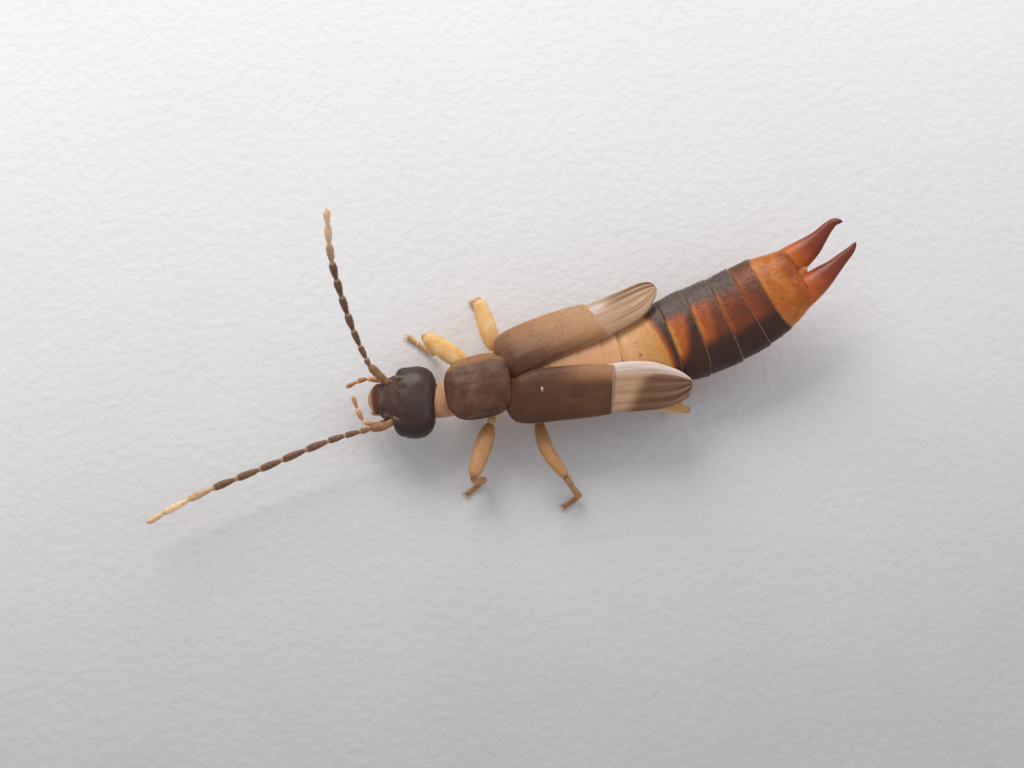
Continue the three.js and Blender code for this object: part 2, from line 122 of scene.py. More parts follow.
camera = bpy.data.objects.new("camera", bpy.data.cameras.new("camera"))
camera.data.sensor_width = SENSOR
camera.data.lens = FOCAL_PIXELS * SENSOR / PHOTO_WIDTH
camera.data.clip_start = 0.1 * MM
camera.data.clip_end = 1
pose = np.eye(4)
pose[:3, :3] = np.stack([right, up, back], 1)
pose[:3, 3] = in_metres(target + back * stand_off)
camera.matrix_world = Matrix(pose.tolist())
bpy.context.scene.collection.objects.link(camera)
bpy.context.scene.camera = camera
print(f"a {camera.data.lens:.1f} mm lens, {stand_off:.1f} mm from the animal")

# %% [markdown]
# ## Smooth lines and tables of sizes
#
# A body part is a line it follows and a table of how wide and high it is along that line.
# Bezier curves with a bevel would do, but a formula keeps the same line as the frame's
# solids, and its result stays an array that can be pushed, folded and coloured.

# %% Read lines and tables smoothly
CUBIC_STEPS = 80
LENGTH_STEPS = 400


def hill(distance, width):
    """A smooth mound: e to the power of minus (distance / width) squared."""
    return np.exp(-((distance / width) ** 2))


def rise(value, low, high):
    """0 below low, 1 above high, and 3 t t - 2 t t t between them."""
    t = np.clip((value - low) / (high - low), 0, 1)
    return t * t * (3 - 2 * t)


def bend_through(points, shares):
    """Places on a smooth line through the points, at shares of its length.

    Between two points it is the cubic whose slope at each is the sum of the speeds on both
    sides less their mean speed, where a speed is a chord over the root of its length.
    """
    p = np.asarray(points, float)
    p = np.vstack([2 * p[0] - p[1], p, 2 * p[-1] - p[-2]])
    chord = np.diff(p, axis=0)
    step = np.sqrt(np.linalg.norm(chord, axis=1))[:, None]
    speed = chord / step
    slope = speed[:-1] + speed[1:] - (chord[:-1] + chord[1:]) / (step[:-1] + step[1:])
    t = np.linspace(0, 1, CUBIC_STEPS)[:, None]
    start, end, width = p[1:-2, None], p[2:-1, None], step[1:-1, None]
    fine = start * (2 * t**3 - 3 * t**2 + 1) + end * (3 * t**2 - 2 * t**3)
    fine = fine + slope[:-1, None] * width * (t**3 - 2 * t**2 + t)
    fine = (fine + slope[1:, None] * width * (t**3 - t**2)).reshape(-1, 3)
    along = np.append(0, np.cumsum(np.linalg.norm(np.diff(fine, axis=0), axis=1)))
    places = np.clip(shares, 0, 1) * along[-1]
    return np.stack([np.interp(places, along, fine[:, k]) for k in range(3)], 1)


def length_of(points):
    """The length of the smooth line through the points."""
    fine = bend_through(points, np.linspace(0, 1, LENGTH_STEPS))
    return np.linalg.norm(np.diff(fine, axis=0), axis=1).sum()


def read_table(rows, places):
    """The columns of a table at any places along its first column.

    Each column is a cubic between two rows. Its slope at a row is the harmonic mean of the
    slopes on both sides, or zero where they differ in sign, so it never overshoots.
    """
    rows = np.asarray(rows, float)
    x, y = rows[:, 0], rows[:, 1:]
    width = np.diff(x)[:, None]
    chord = np.diff(y, axis=0) / width
    agree = chord[:-1] * chord[1:] > 0
    both = np.where(agree, chord[:-1] + chord[1:], 1)
    middle = np.where(agree, 2 * chord[:-1] * chord[1:] / both, 0)
    slope = np.vstack([chord[:1], middle, chord[-1:]])
    shape = np.shape(places)
    places = np.clip(np.ravel(places), x[0], x[-1])
    i = np.clip(np.searchsorted(x, places) - 1, 0, len(x) - 2)
    t = ((places - x[i]) / width[i, 0])[:, None]
    value = y[i] * (2 * t**3 - 3 * t**2 + 1) + y[i + 1] * (3 * t**2 - 2 * t**3)
    value = value + width[i] * (slope[i] * (t**3 - 2 * t**2 + t) + slope[i + 1] * (t**3 - t**2))
    return np.moveaxis(value.reshape(*shape, -1), -1, 0)


print("lines and tables are read as whole arrays")

# %% [markdown]
# ## Rings, and the mesh that closes them
#
# Most insect parts are tubes: legs, feelers, the abdomen. A tube is one rounded ring carried
# along a line. The ring is a superellipse, which goes from a circle towards a rounded box by
# one number. Wings are tubes too, with a ring pressed to a thin crescent.

# %% Carry rings along a line
CROWDING = 0.6


def crowd_ends(count):
    """Shares from 0 to 1, closer together near both ends by a cosine."""
    even = np.linspace(0, 1, count)
    return even + CROWDING * (0.5 - 0.5 * np.cos(np.pi * even) - even)


def axes_along(middles, roll=0.0):
    """Side and up directions at right angles to a line, turned by roll degrees about it."""
    forward = np.gradient(middles, axis=0)
    forward /= np.linalg.norm(forward, axis=1, keepdims=True)
    side = np.cross([0, 0, 1], forward)
    side /= np.linalg.norm(side, axis=1, keepdims=True)
    up = np.cross(forward, side)
    turn = math.radians(roll)
    return side * math.cos(turn) + up * math.sin(turn), up * math.cos(turn) - side * math.sin(turn)


def bowed(value, power):
    """A cosine or sine raised to 2 / power with its sign kept, the superellipse's rule."""
    return np.sign(value) * np.abs(value) ** (2 / power)


def ring_angles(sides):
    """Angles round a ring, from the side over the top, half a step off the side itself."""
    return 2 * np.pi * (np.arange(sides) + 0.5) / sides


def tube(line, sizes, rows=60, sides=40, power=2.2, ends=(0.0, 0.0)):
    """Rings along a line. sizes has rows of place, half width, height above and below.

    A point of a ring is middle + side * half width * cos + up * height * sin, with cos and
    sin bowed. Over the lengths in ends the sizes shrink as a quarter ellipse, so both ends
    are round.
    """
    first, last = sizes[0][0], sizes[-1][0]
    places = first + (last - first) * crowd_ends(rows)
    half_width, top, bottom = read_table(sizes, places)
    for gap, reach in zip((places - first, last - places), ends):
        if reach:
            half_width, top, bottom = (
                size * np.sqrt(1 - (1 - np.clip(gap / reach, 0.001, 1)) ** 2)
                for size in (half_width, top, bottom)
            )
    middles = bend_through(line, places / length_of(line))
    side, up = axes_along(middles)
    angle = ring_angles(sides)
    across = half_width[:, None] * bowed(np.cos(angle), power)
    height = np.where(np.sin(angle) > 0, top[:, None], bottom[:, None])
    height = height * bowed(np.sin(angle), power)
    return middles[:, None] + side[:, None] * across[..., None] + up[:, None] * height[..., None]


def outward(points):
    """Unit directions out of a closed tube: the line round it crossed with the line along it."""
    along = np.gradient(points, axis=0)
    around = np.roll(points, -1, 1) - np.roll(points, 1, 1)
    normal = np.cross(around, along)
    return normal / np.maximum(np.linalg.norm(normal, axis=2, keepdims=True), 1e-9)


def push(points, depth):
    """Every point moved out of the surface by its depth."""
    return points + outward(points) * np.asarray(depth)[..., None]


sample = tube([(0, 0, 0), (1, 0, 0)], [(0, 1, 1, 1), (1, 1, 1, 1)], rows=4, sides=8)
print("a tube is an array of shape", sample.shape)


# %% Close a tube to a mesh
def tube_faces(rows, sides, start, strip):
    """Four-sided faces between neighbouring rings, and both ends closed.

    An end is a fan on the point in the middle of its ring, or, for a thin crescent, a strip
    between its outer and its inner half.
    """
    ring = start + np.arange(rows * sides).reshape(rows, sides)
    after = np.roll(ring, -1, axis=1)
    quads = np.stack([ring[:-1], after[:-1], after[1:], ring[1:]], -1).reshape(-1, 4).tolist()
    if strip:
        near = np.arange(sides // 2 - 1)
        far = sides - 1 - near
        for end, order in ((ring[0], -1), (ring[-1], 1)):
            caps = np.stack([end[near], end[near + 1], end[far - 1], end[far]], 1)
            quads += caps[:, ::order].tolist()
        return quads
    for end, middle, order in ((ring[0], ring[-1, -1] + 1, -1), (ring[-1], ring[-1, -1] + 2, 1)):
        fan = np.stack([end, np.roll(end, -1), np.full(sides, middle)], 1)
        quads += fan[:, ::order].tolist()
    return quads


def finished(name, places, faces, marks, finish, crease=None):
    """A mesh object of points in millimetres, with its marks and finish, that rides on the one body."""
    mesh = bpy.data.meshes.new(name)
    mesh.from_pydata(in_metres(places).tolist(), [], faces)
    for key, value in marks.items():
        layer = mesh.attributes.new(key, "FLOAT", "POINT")
        layer.data.foreach_set("value", np.concatenate(value).astype(np.float32))
    mesh.shade_smooth()
    if crease:
        mesh.set_sharp_from_angle(angle=math.radians(crease))
    mesh.materials.append(finish.material)
    piece = bpy.data.objects.new(name, mesh)
    bpy.context.scene.collection.objects.link(piece)
    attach(piece, "root")
    print(f"{name}: {len(faces)} faces")
    return piece


def build(name, tubes, finish, replaces=(), crease=None):
    """One mesh piece from closed tubes, each a pair of its points and its marks by name.

    A mark is a number at every point, which the finish reads to colour that place. Every
    tube of a piece has the same marks. A third item "strip" closes the tube as a crescent.
    """
    places, faces, marks = [], [], {}
    for points, values, *how in tubes:
        rows, sides = points.shape[:2]
        faces += tube_faces(rows, sides, sum(map(len, places)), bool(how))
        places.append(points.reshape(-1, 3))
        if not how:
            places.append(points[[0, -1]].mean(axis=1))
        for key, value in values.items():
            value = np.broadcast_to(value, (rows, sides))
            pole = [] if how else value[[0, -1]].mean(axis=1)
            marks.setdefault(key, []).append(np.append(value.ravel(), pole))
    piece = finished(name, np.concatenate(places), faces, marks, finish, crease)
    if replaces:
        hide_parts(*replaces)


print("tubes close to solid meshes")

# %% [markdown]
# ## Shader maths as plain expressions
#
# A finish is a small program of nodes. Typing the nodes and links one by one hides the sum
# behind them, so one class wraps a socket, and + - * on it add the Math nodes.


# %% Wrap sockets and nodes
class Wire:
    """The output of a node, on which + - and * write Math nodes."""

    def __init__(self, finish, socket):
        self.finish = finish
        self.socket = socket

    def sum_with(self, operation, first, second):
        """A Math node on two wires or numbers."""
        return self.finish.node("Math", {0: first, 1: second}, operation=operation)

    def __add__(self, other):
        return self.sum_with("ADD", self, other)

    def __sub__(self, other):
        return self.sum_with("SUBTRACT", self, other)

    def __rsub__(self, other):
        return self.sum_with("SUBTRACT", other, self)

    def __mul__(self, other):
        return self.sum_with("MULTIPLY", self, other)

    __radd__ = __add__
    __rmul__ = __mul__

    def rise(self, low, high):
        """0 below low, 1 above high, and smooth between them."""
        limits = {0: self, 1: low, 2: high}
        return self.finish.node("MapRange", limits, interpolation_type="SMOOTHSTEP")

    def ramp(self, *stops):
        """The colour at this value, between stops of place and colour."""
        return self.finish.node("ValToRGB", {0: self}, stops=stops)


print("sums of wires write Math nodes")


# %% One material and its nodes
class Finish:
    """A material with one Principled surface, whose plain sockets are set by name."""

    def __init__(self, name, sockets):
        self.material = bpy.data.materials.new(name)
        self.material.use_nodes = True
        self.tree = self.material.node_tree
        self.surface = self.tree.nodes["Principled BSDF"]
        self.feed(self.surface, sockets)

    def feed(self, node, sockets):
        """Links a Wire to a socket, or sets the socket's own value."""
        for key, value in sockets.items():
            if isinstance(value, Wire):
                self.tree.links.new(value.socket, node.inputs[key])
            else:
                node.inputs[key].default_value = value

    def node(self, kind, sockets, out=0, stops=(), **settings):
        """Any other node: its kind, the values or wires of its sockets, and its settings."""
        node = self.tree.nodes.new("ShaderNode" + kind)
        for key, value in settings.items():
            setattr(node, key, value)
        if stops:
            elements = node.color_ramp.elements
            elements[0].position, elements[1].position = stops[0][0], stops[-1][0]
            for place, _ in stops[1:-1]:
                elements.new(place)
            for element, (_, colour) in zip(elements, stops):
                element.color = colour
        self.feed(node, sockets)
        return Wire(self, node.outputs[out])

    def mark(self, name):
        """The number that the mesh carries under this name."""
        return self.node("Attribute", {}, out="Fac", attribute_name=name)

    def noise(self, per_mm, detail=3.0, stretch=(1, 1, 1), pattern=None):
        """Cloudy noise with about per_mm spots in a millimetre, stretched along an axis."""
        vector = pattern or self.node("TexCoord", {}, out="Object")
        sizes = tuple(1 / s for s in stretch)
        vector = self.node("Mapping", {"Vector": vector, "Scale": sizes})
        scale = per_mm if pattern else per_mm / MM
        return self.node("TexNoise", {"Vector": vector, "Scale": scale, "Detail": detail})

    def blend(self, share, first, second):
        """Two colours mixed by a share."""
        sockets = {0: share, 6: first, 7: second}
        return self.node("Mix", sockets, out=2, data_type="RGBA")

    def paint(self, colour, roughness=None, relief=None, depth=0.0):
        """Feeds colour, roughness and a bump of a depth in millimetres to the surface."""
        self.feed(self.surface, {"Base Color": colour})
        if roughness:
            self.feed(self.surface, {"Roughness": roughness})
        if relief:
            bump = {"Height": relief, "Distance": depth * MM}
            self.feed(self.surface, {"Normal": self.node("Bump", bump)})


print("shader expressions are ready")


# %% Bare insect shell
def tint(code):
    """A colour written as six hex digits, as the linear red, green, blue and alpha."""
    parts = np.array([int(code[i : i + 2], 16) for i in (0, 2, 4)]) / 255
    linear = np.where(parts > 0.04045, ((parts + 0.055) / 1.055) ** 2.4, parts / 12.92)
    return (*linear.tolist(), 1.0)


def chitin(name, roughness=0.4, glow=0.0, depth=0.1, sheen=0.0, coat=0.0):
    """Bare insect shell: a semi-gloss surface that lets a share of light soak in."""
    return Finish(
        name,
        {
            "Roughness": roughness,
            "Subsurface Weight": glow,
            "Subsurface Radius": (1.0, 0.5, 0.22),
            "Subsurface Scale": depth * MM,
            "Sheen Weight": sheen,
            "Sheen Roughness": 0.5,
            "Coat Weight": coat,
            "Coat Roughness": 0.25,
            "Specular IOR Level": 0.36,
        },
    )


print("a bare shell, and colours as linear light")

# %% [markdown]
# ## Floor and light
#
# The photo's light is bright, soft and stronger from the animal's right, the far side in the
# photo. A pale sky fills every side, one large lamp gives the soft shadow, and a weak one
# lights the tail. Lamps this near a 6 mm animal need only thousandths of a watt, because
# light falls with the square of the distance.

# %% Floor, sky and lamps
FLOOR_HALF = 400
PAINTED_LIGHT_FADE = 7
floor_finish = Finish("pale_floor", {"Roughness": 0.9, "Specular IOR Level": 0.2})
cloud = floor_finish.noise(0.35, detail=4).rise(0.3, 0.7)
# Painted light: the floor's colour is darker on the animal's left and lighter on its right, where the
# lamp stands. This is a painted falloff of the lamp's light, with a faint cloud.
ahead = floor_finish.node("SeparateXYZ", {0: floor_finish.node("TexCoord", {}, out="Object")}, out="Y")
ahead = ahead.rise(-PAINTED_LIGHT_FADE * MM, PAINTED_LIGHT_FADE * MM) + 0.06 * cloud
floor_finish.paint(
    colour=ahead.ramp((0.0, tint("bcbabb")), (0.5, tint("dedddf")), (1.0, tint("f1f1f4"))),
    relief=floor_finish.noise(9, detail=6),
    depth=0.02,
)
corners = np.array([(-1, -1, 0), (1, -1, 0), (1, 1, 0), (-1, 1, 0)]) * FLOOR_HALF
floor_mesh = bpy.data.meshes.new("floor")
floor_mesh.from_pydata(in_metres(corners).tolist(), [], [(0, 1, 2, 3)])
floor_mesh.materials.append(floor_finish.material)
floor = bpy.data.objects.new("floor", floor_mesh)
bpy.context.scene.collection.objects.link(floor)
floor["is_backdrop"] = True

sky = bpy.data.worlds.new("sky")
sky.use_nodes = True
sky.node_tree.nodes["Background"].inputs["Color"].default_value = tint("f4f5f8")
sky.node_tree.nodes["Background"].inputs["Strength"].default_value = 0.53
bpy.context.scene.world = sky
bpy.context.scene.view_settings.view_transform = "Standard"


def soft_lamp(name, place, width, strength, tone):
    """A square lamp that faces the animal. strength is the light it gives a facing surface,
    so its power is pi squared times the strength times the distance squared."""
    lamp = bpy.data.lights.new(name, "AREA")
    distance = np.linalg.norm(place) * MM
    lamp.size = width * MM
    lamp.energy = (math.pi * distance) ** 2 * strength
    lamp.color = tint(tone)[:3]
    holder = bpy.data.objects.new(name, lamp)
    back = np.array(place) / np.linalg.norm(place)
    side = np.cross([0, 0, 1], back)
    side /= np.linalg.norm(side)
    pose = np.eye(4)
    pose[:3, :3] = np.stack([side, np.cross(back, side), back], 1)
    pose[:3, 3] = in_metres(np.array(place))
    holder.matrix_world = Matrix(pose.tolist())
    bpy.context.scene.collection.objects.link(holder)


soft_lamp("window", (-7, 34, 30), 28, 0.66, "fff9f0")
soft_lamp("side_card", (50, 10, 45), 50, 0.17, "f6f7ff")
print("a floor, a sky and two soft lamps")

# %% [markdown]
# ## The head
#
# From above the head is a rounded heart: two temples at the back, the eyes at its front
# corners, and a narrow plate over the mouth. It is one tube from nape to mouth. The temples,
# the shallow pits of the forehead, the fine seams of the skull and the rims of the feeler
# sockets are pushed out of it or into it by smooth mounds.

# %% Finishes of the head
head_finish = chitin("head_shell", coat=0.3)
mottle = head_finish.noise(5, detail=4)
front = head_finish.mark("front")
brown = head_finish.blend(mottle.rise(0.35, 0.65), tint("2f1b15"), tint("412820"))
warm = head_finish.blend(front * 0.8, brown, tint("54301f"))
warm = head_finish.blend(head_finish.mark("brow") * 0.6, warm, tint("7d5a42"))
plate = head_finish.blend(head_finish.mark("mouth_plate"), warm, tint("5f554d"))
pores = head_finish.noise(95, detail=2)
head_finish.paint(
    colour=head_finish.blend(head_finish.mark("seam") * 0.6, plate, tint("241714")),
    roughness=0.4 + 0.12 * mottle,
    relief=pores + mottle * 2,
    depth=0.0022,
)

eye_finish = chitin("eye_shell", roughness=0.34, coat=0.15)
facet = eye_finish.mark("facet")
eye_finish.paint(colour=eye_finish.blend(facet, tint("211a18"), tint("352b29")))

mouth_finish = chitin("mouth_shell", roughness=0.4, glow=0.25, depth=0.04)
rim = mouth_finish.mark("rim") + 0.3 * mouth_finish.noise(14)
mouth_finish.paint(
    colour=rim.ramp((0.0, tint("4c1f14")), (0.45, tint("74402a")), (0.95, tint("b98c68"))),
    relief=mouth_finish.noise(70),
    depth=0.002,
)
print("head, eye and mouth finishes")

# %% Place and sizes of the head
HEAD_MIDDLE = np.array([-0.538, -0.088, 0.56])
HEAD_YAW = math.radians(-9)
HEAD_PITCH = math.radians(-2.5)
MOUTH_SHIFT = 0.045
HEAD_SIZES = [
    (-0.03, 0.11, 0.06, 0.05),
    (-0.018, 0.24, 0.12, 0.1),
    (0.012, 0.325, 0.15, 0.135),
    (0.06, 0.388, 0.18, 0.17),
    (0.13, 0.427, 0.2, 0.19),
    (0.22, 0.441, 0.207, 0.2),
    (0.3, 0.433, 0.205, 0.2),
    (0.36, 0.413, 0.2, 0.197),
    (0.41, 0.372, 0.193, 0.192),
    (0.46, 0.322, 0.181, 0.185),
    (0.53, 0.274, 0.155, 0.165),
    (0.6, 0.236, 0.122, 0.145),
    (0.645, 0.204, 0.096, 0.125),
    (0.665, 0.165, 0.06, 0.09),
]
HEAD_TUBE_START = -0.1
HEAD_GRID = 200
SOCKET = (0.5, 0.235, 0.09)
SOCKET_RIM = 0.058
SUTURE_FORK = 0.33
FORK_SLOPE = 1.35
SEAM_DEPTH = 0.0012
PLATE_SEAM = 0.585
PLATE_SEAM_DEPTH = 0.0035
BROW_ACROSS = 0.2
BROW_FORWARD = 0.6
BROW_SLOPE = 0.35
THROAT_DEPTH = 0.012
# depth, forward, its reach, across, its reach: the temples, the forehead, two pits on it
SKULL_MOUNDS = [
    (0.014, 0.16, 0.12, 0.23, 0.12),
    (-0.014, 0.44, 0.06, 0, 0.13),
    (-0.008, 0.37, 0.05, 0.12, 0.05),
]


print(f"the head is {HEAD_SIZES[-1][0] - HEAD_SIZES[0][0]:.2f} mm long")


# %% Turn the head, and lay tubes along it
def place_head(points):
    """From the head's own frame to the animal's: pitched, yawed and moved. The mouth lies a
    little to the right of the middle, as the head is turned on its neck."""
    cp, sp = math.cos(HEAD_PITCH), math.sin(HEAD_PITCH)
    cy, sy = math.cos(HEAD_YAW), math.sin(HEAD_YAW)
    pitch = np.array([[cp, 0, sp], [0, 1, 0], [-sp, 0, cp]])
    yaw = np.array([[cy, -sy, 0], [sy, cy, 0], [0, 0, 1]])
    lean = MOUTH_SHIFT * rise(-points[..., 0], 0.3, 0.75)
    return (points + lean[..., None] * (0, 1, 0)) @ (yaw @ pitch).T + HEAD_MIDDLE


def straight_tube(sizes, **how):
    """A tube forward along the head's middle line, read in the same places as its table."""
    moved = [(row[0] - HEAD_TUBE_START, *row[1:]) for row in sizes]
    return tube([(-HEAD_TUBE_START, 0, 0), (-HEAD_TUBE_START - 1, 0, 0)], moved, **how)


print("the head's frame is turned", round(math.degrees(HEAD_YAW)), "degrees")


# %% Skull
def skull():
    """The head's tube with its temples, pits, seams and sockets, and its marks. Each of them
    is a mound: a depth times the hill of a distance, pushed out of the surface or into it."""
    points = straight_tube(HEAD_SIZES, rows=HEAD_GRID, sides=HEAD_GRID, power=2.35)
    forward, across, height = -points[..., 0], np.abs(points[..., 1]), points[..., 2]
    top = rise(height, 0.0, 0.08)
    points[..., 0] -= 0.02 * hill(across, 0.16) * (1 - rise(forward, 0.02, 0.1))
    branch = np.abs(across - FORK_SLOPE * (forward - SUTURE_FORK)) * 0.6
    fork = hill(branch, 0.008) * (forward > SUTURE_FORK) * (1 - rise(across, 0.15, 0.2))
    crown = hill(across, 0.009) * (1 - rise(forward, SUTURE_FORK - 0.02, SUTURE_FORK))
    seam = np.maximum(fork, crown) * top
    cross_seam = hill(forward - PLATE_SEAM, 0.008) * rise(height, -0.02, 0.05)
    spot = np.stack([forward, across, height], -1) - np.array(SOCKET)
    ring = np.linalg.norm(spot, axis=-1)
    depth = 0.01 * hill(ring - SOCKET_RIM, 0.013) - 0.02 * hill(ring, 0.036)
    for size, ahead, length, beside, width in SKULL_MOUNDS:
        depth += size * hill(forward - ahead, length) * hill(across - beside, width) * top
    depth += -SEAM_DEPTH * seam - PLATE_SEAM_DEPTH * cross_seam
    brow = across - BROW_ACROSS - BROW_SLOPE * (BROW_FORWARD - forward)
    brow_span = rise(forward, 0.36, 0.44) * (1 - rise(forward, 0.56, 0.62)) * top
    depth += (0.012 * hill(brow, 0.016) - 0.01 * hill(brow + 0.035, 0.016)) * brow_span
    throat = rise(-height, 0.05, 0.12)
    depth += -THROAT_DEPTH * hill(across - 0.1, 0.012) * throat
    depth += -0.01 * hill(forward - 0.3, 0.012) * throat * (across < 0.1)
    marks = {
        "front": rise(forward, 0.3, 0.6),
        "mouth_plate": 0.8 * rise(forward, 0.59, 0.615) * rise(height, 0.0, 0.05) * hill(across, 0.075),
        "seam": np.maximum(0.25 * seam, rise(forward, 0.57, 0.6) * rise(across, 0.06, 0.12)),
        "brow": hill(brow, 0.02) * brow_span,
    }
    return push(points, depth), marks


skull_points, skull_marks = skull()
skull_points = place_head(skull_points)
build("head_capsule", [(skull_points, skull_marks)], head_finish, ["head"])

# %% [markdown]
# ## Eyes with real facets
#
# An insect eye is a dome of some two hundred small lenses in a honeycomb. A bump texture
# would vanish from the meshes, so each lens is a low cap raised on the dome: the distance
# to the nearest point of a honeycomb says how high the surface stands.

# %% Eyes
EYE_MIDDLE = (0.352, 0.297, 0.012)
EYE_RADII = (0.122, 0.124, 0.122)
EYE_AXIS = (-0.12, 1, 0.3)
EYE_ROWS = 150
EYE_SIDES = 200
LENS_HEIGHT = 0.028
FACET = 0.17
HONEY = math.sqrt(3)


def comb(p, q):
    """Squared distance to the nearest point of a honeycomb with a pitch of one: the nearer of
    two oblong grids, one of them moved by half a cell."""
    first = (p - np.round(p)) ** 2 + (q - HONEY * np.round(q / HONEY)) ** 2
    p, q = p - 0.5, q - HONEY / 2
    second = (p - np.round(p)) ** 2 + (q - HONEY * np.round(q / HONEY)) ** 2
    return np.minimum(first, second)


def eye(sign):
    """An egg shaped dome round a line out of the head's side, with its lenses raised."""
    outward_line = np.array(EYE_AXIS) * (1, sign, 1)
    outward_line /= np.linalg.norm(outward_line)
    first = np.cross(outward_line, [0, 0, 1])
    first /= np.linalg.norm(first)
    second = np.cross(-outward_line, first)
    polar = (np.pi * np.linspace(0.004, 0.996, EYE_ROWS) ** 1.1)[:, None]
    turn = ring_angles(EYE_SIDES)[None]
    lens = 1 - comb(polar * np.cos(turn) / FACET, polar * np.sin(turn) / FACET) * 3
    lens = np.clip(lens, 0, 1) * (1 - rise(polar, 1.5, 1.7))
    around = first * np.cos(turn)[..., None] + second * np.sin(turn)[..., None]
    away = outward_line * np.cos(polar)[..., None] + around * np.sin(polar)[..., None]
    middle = np.array([-EYE_MIDDLE[0], sign * EYE_MIDDLE[1], EYE_MIDDLE[2]])
    points = middle + away * np.array(EYE_RADII) * (1 + LENS_HEIGHT * lens[..., None])
    return place_head(points), {"facet": lens}


for side, sign in (("right", 1), ("left", -1)):
    build(f"eye_dome_{side}", [eye(sign)], eye_finish, [f"eye_{side}"])

# %% [markdown]
# ## Mouthparts
#
# Below the plate on the forehead hang the upper lip with its pale rim, two hooked jaws and
# the lower lip with short feelers. Only the upper lip shows from above, and the rest is
# there for the views from the side and below.

# %% Lips and jaws
LIP_SIZES = [
    (0.62, 0.15, 0.06, 0.07),
    (0.66, 0.19, 0.068, 0.075),
    (0.7, 0.184, 0.062, 0.07),
    (0.735, 0.157, 0.05, 0.055),
    (0.77, 0.112, 0.036, 0.036),
    (0.8, 0.05, 0.02, 0.02),
]
JAW_LINE = [
    (-0.5, 0.15, -0.06),
    (-0.62, 0.14, -0.08),
    (-0.71, 0.085, -0.095),
    (-0.735, 0.02, -0.1),
]
JAW_SIZES = [
    (0, 0.045, 0.05, 0.05),
    (0.12, 0.05, 0.05, 0.05),
    (0.24, 0.026, 0.03, 0.03),
    (0.29, 0.01, 0.01, 0.01),
]
CHIN_LINE = [(-0.28, 0, -0.17), (-0.5, 0, -0.175), (-0.7, 0, -0.14)]
CHIN_SIZES = [
    (0, 0.1, 0.02, 0.03),
    (0.12, 0.13, 0.03, 0.04),
    (0.3, 0.12, 0.03, 0.035),
    (0.42, 0.07, 0.02, 0.025),
]
LOWER_PALP = [(-0.6, 0.08, -0.17), (-0.7, 0.13, -0.2), (-0.8, 0.12, -0.2)]
LOWER_PALP_SIZES = [(0, 0.02, 0.02, 0.02), (0.08, 0.028, 0.028, 0.028), (0.2, 0.022, 0.022, 0.022)]


def mirrored(line, sign):
    """A line for the animal's right side, or flipped to its left."""
    return np.array(line) * (1, sign, 1)


lip = straight_tube(LIP_SIZES, rows=50, sides=72, power=2.4)
lip[..., 2] -= 0.035 * rise(-lip[..., 0], 0.66, 0.82)
lip_edge = rise(-lip[..., 0] + 0.5 * np.abs(lip[..., 1]) ** 1.5, 0.722, 0.79)
lip_edge = lip_edge * (1 - 0.5 * rise(lip[..., 1], 0.0, 0.12))
mouth = [(place_head(lip), {"rim": lip_edge})]
for sign in (1, -1):
    jaw = tube(mirrored(JAW_LINE, sign), JAW_SIZES, rows=40, sides=24, ends=(0.02, 0.01))
    feeler = tube(mirrored(LOWER_PALP, sign), LOWER_PALP_SIZES, rows=40, sides=20, ends=(0.02, 0.03))
    mouth += [(place_head(jaw), {"rim": 0.1}), (place_head(feeler), {"rim": 0.9})]
chin = tube(CHIN_LINE, CHIN_SIZES, rows=40, sides=40, ends=(0.05, 0.05))
mouth.append((place_head(chin), {"rim": 0.4}))
build("mouthparts_shell", mouth, mouth_finish, ["labrum"])

# %% [markdown]
# ## Feelers and palps
#
# A feeler is a row of joints. Each joint is narrow at its root, widest past its middle and
# a little narrower at its tip, like a spindle. One table of that outline is read again for
# each joint, and the length and width of the joints are two short lists. Their place in the
# row marks the mesh, so that the last joints can be pale.

# %% Finishes of feelers and palps
feeler_finish = chitin("feeler_shell", roughness=0.5, glow=0.2, depth=0.03, sheen=0.15)
share = feeler_finish.mark("share")
pale = feeler_finish.mark("pale")
streak = feeler_finish.noise(22, detail=4)
dark_joint = feeler_finish.blend(streak.rise(0.3, 0.7), tint("684731"), tint("876047"))
amber_joint = feeler_finish.blend(streak.rise(0.3, 0.7), tint("865a36"), tint("a67b52"))
joint = feeler_finish.blend(feeler_finish.mark("amber"), dark_joint, amber_joint)
cream = feeler_finish.blend(streak.rise(0.3, 0.7), tint("eebf90"), tint("fbdfba"))
joint = feeler_finish.blend(pale, joint, cream)
knuckle = share.rise(0.86, 0.97) + (1 - share).rise(0.93, 1.0)
feeler_finish.paint(
    colour=feeler_finish.blend(knuckle * 0.8, joint, tint("d6b48c")),
    relief=feeler_finish.noise(60, detail=3),
    depth=0.003,
)

palp_finish = chitin("palp_shell", roughness=0.45, glow=0.35, depth=0.04)
share = palp_finish.mark("share")
palp_tone = palp_finish.noise(18) + 0.6 * share.rise(0.5, 1.0)
palp_finish.paint(
    colour=palp_tone.ramp((0.2, tint("a1683a")), (0.7, tint("c48a58")), (1.0, tint("dcb088"))),
    relief=palp_finish.noise(80),
    depth=0.002,
)
print("feeler and palp finishes")

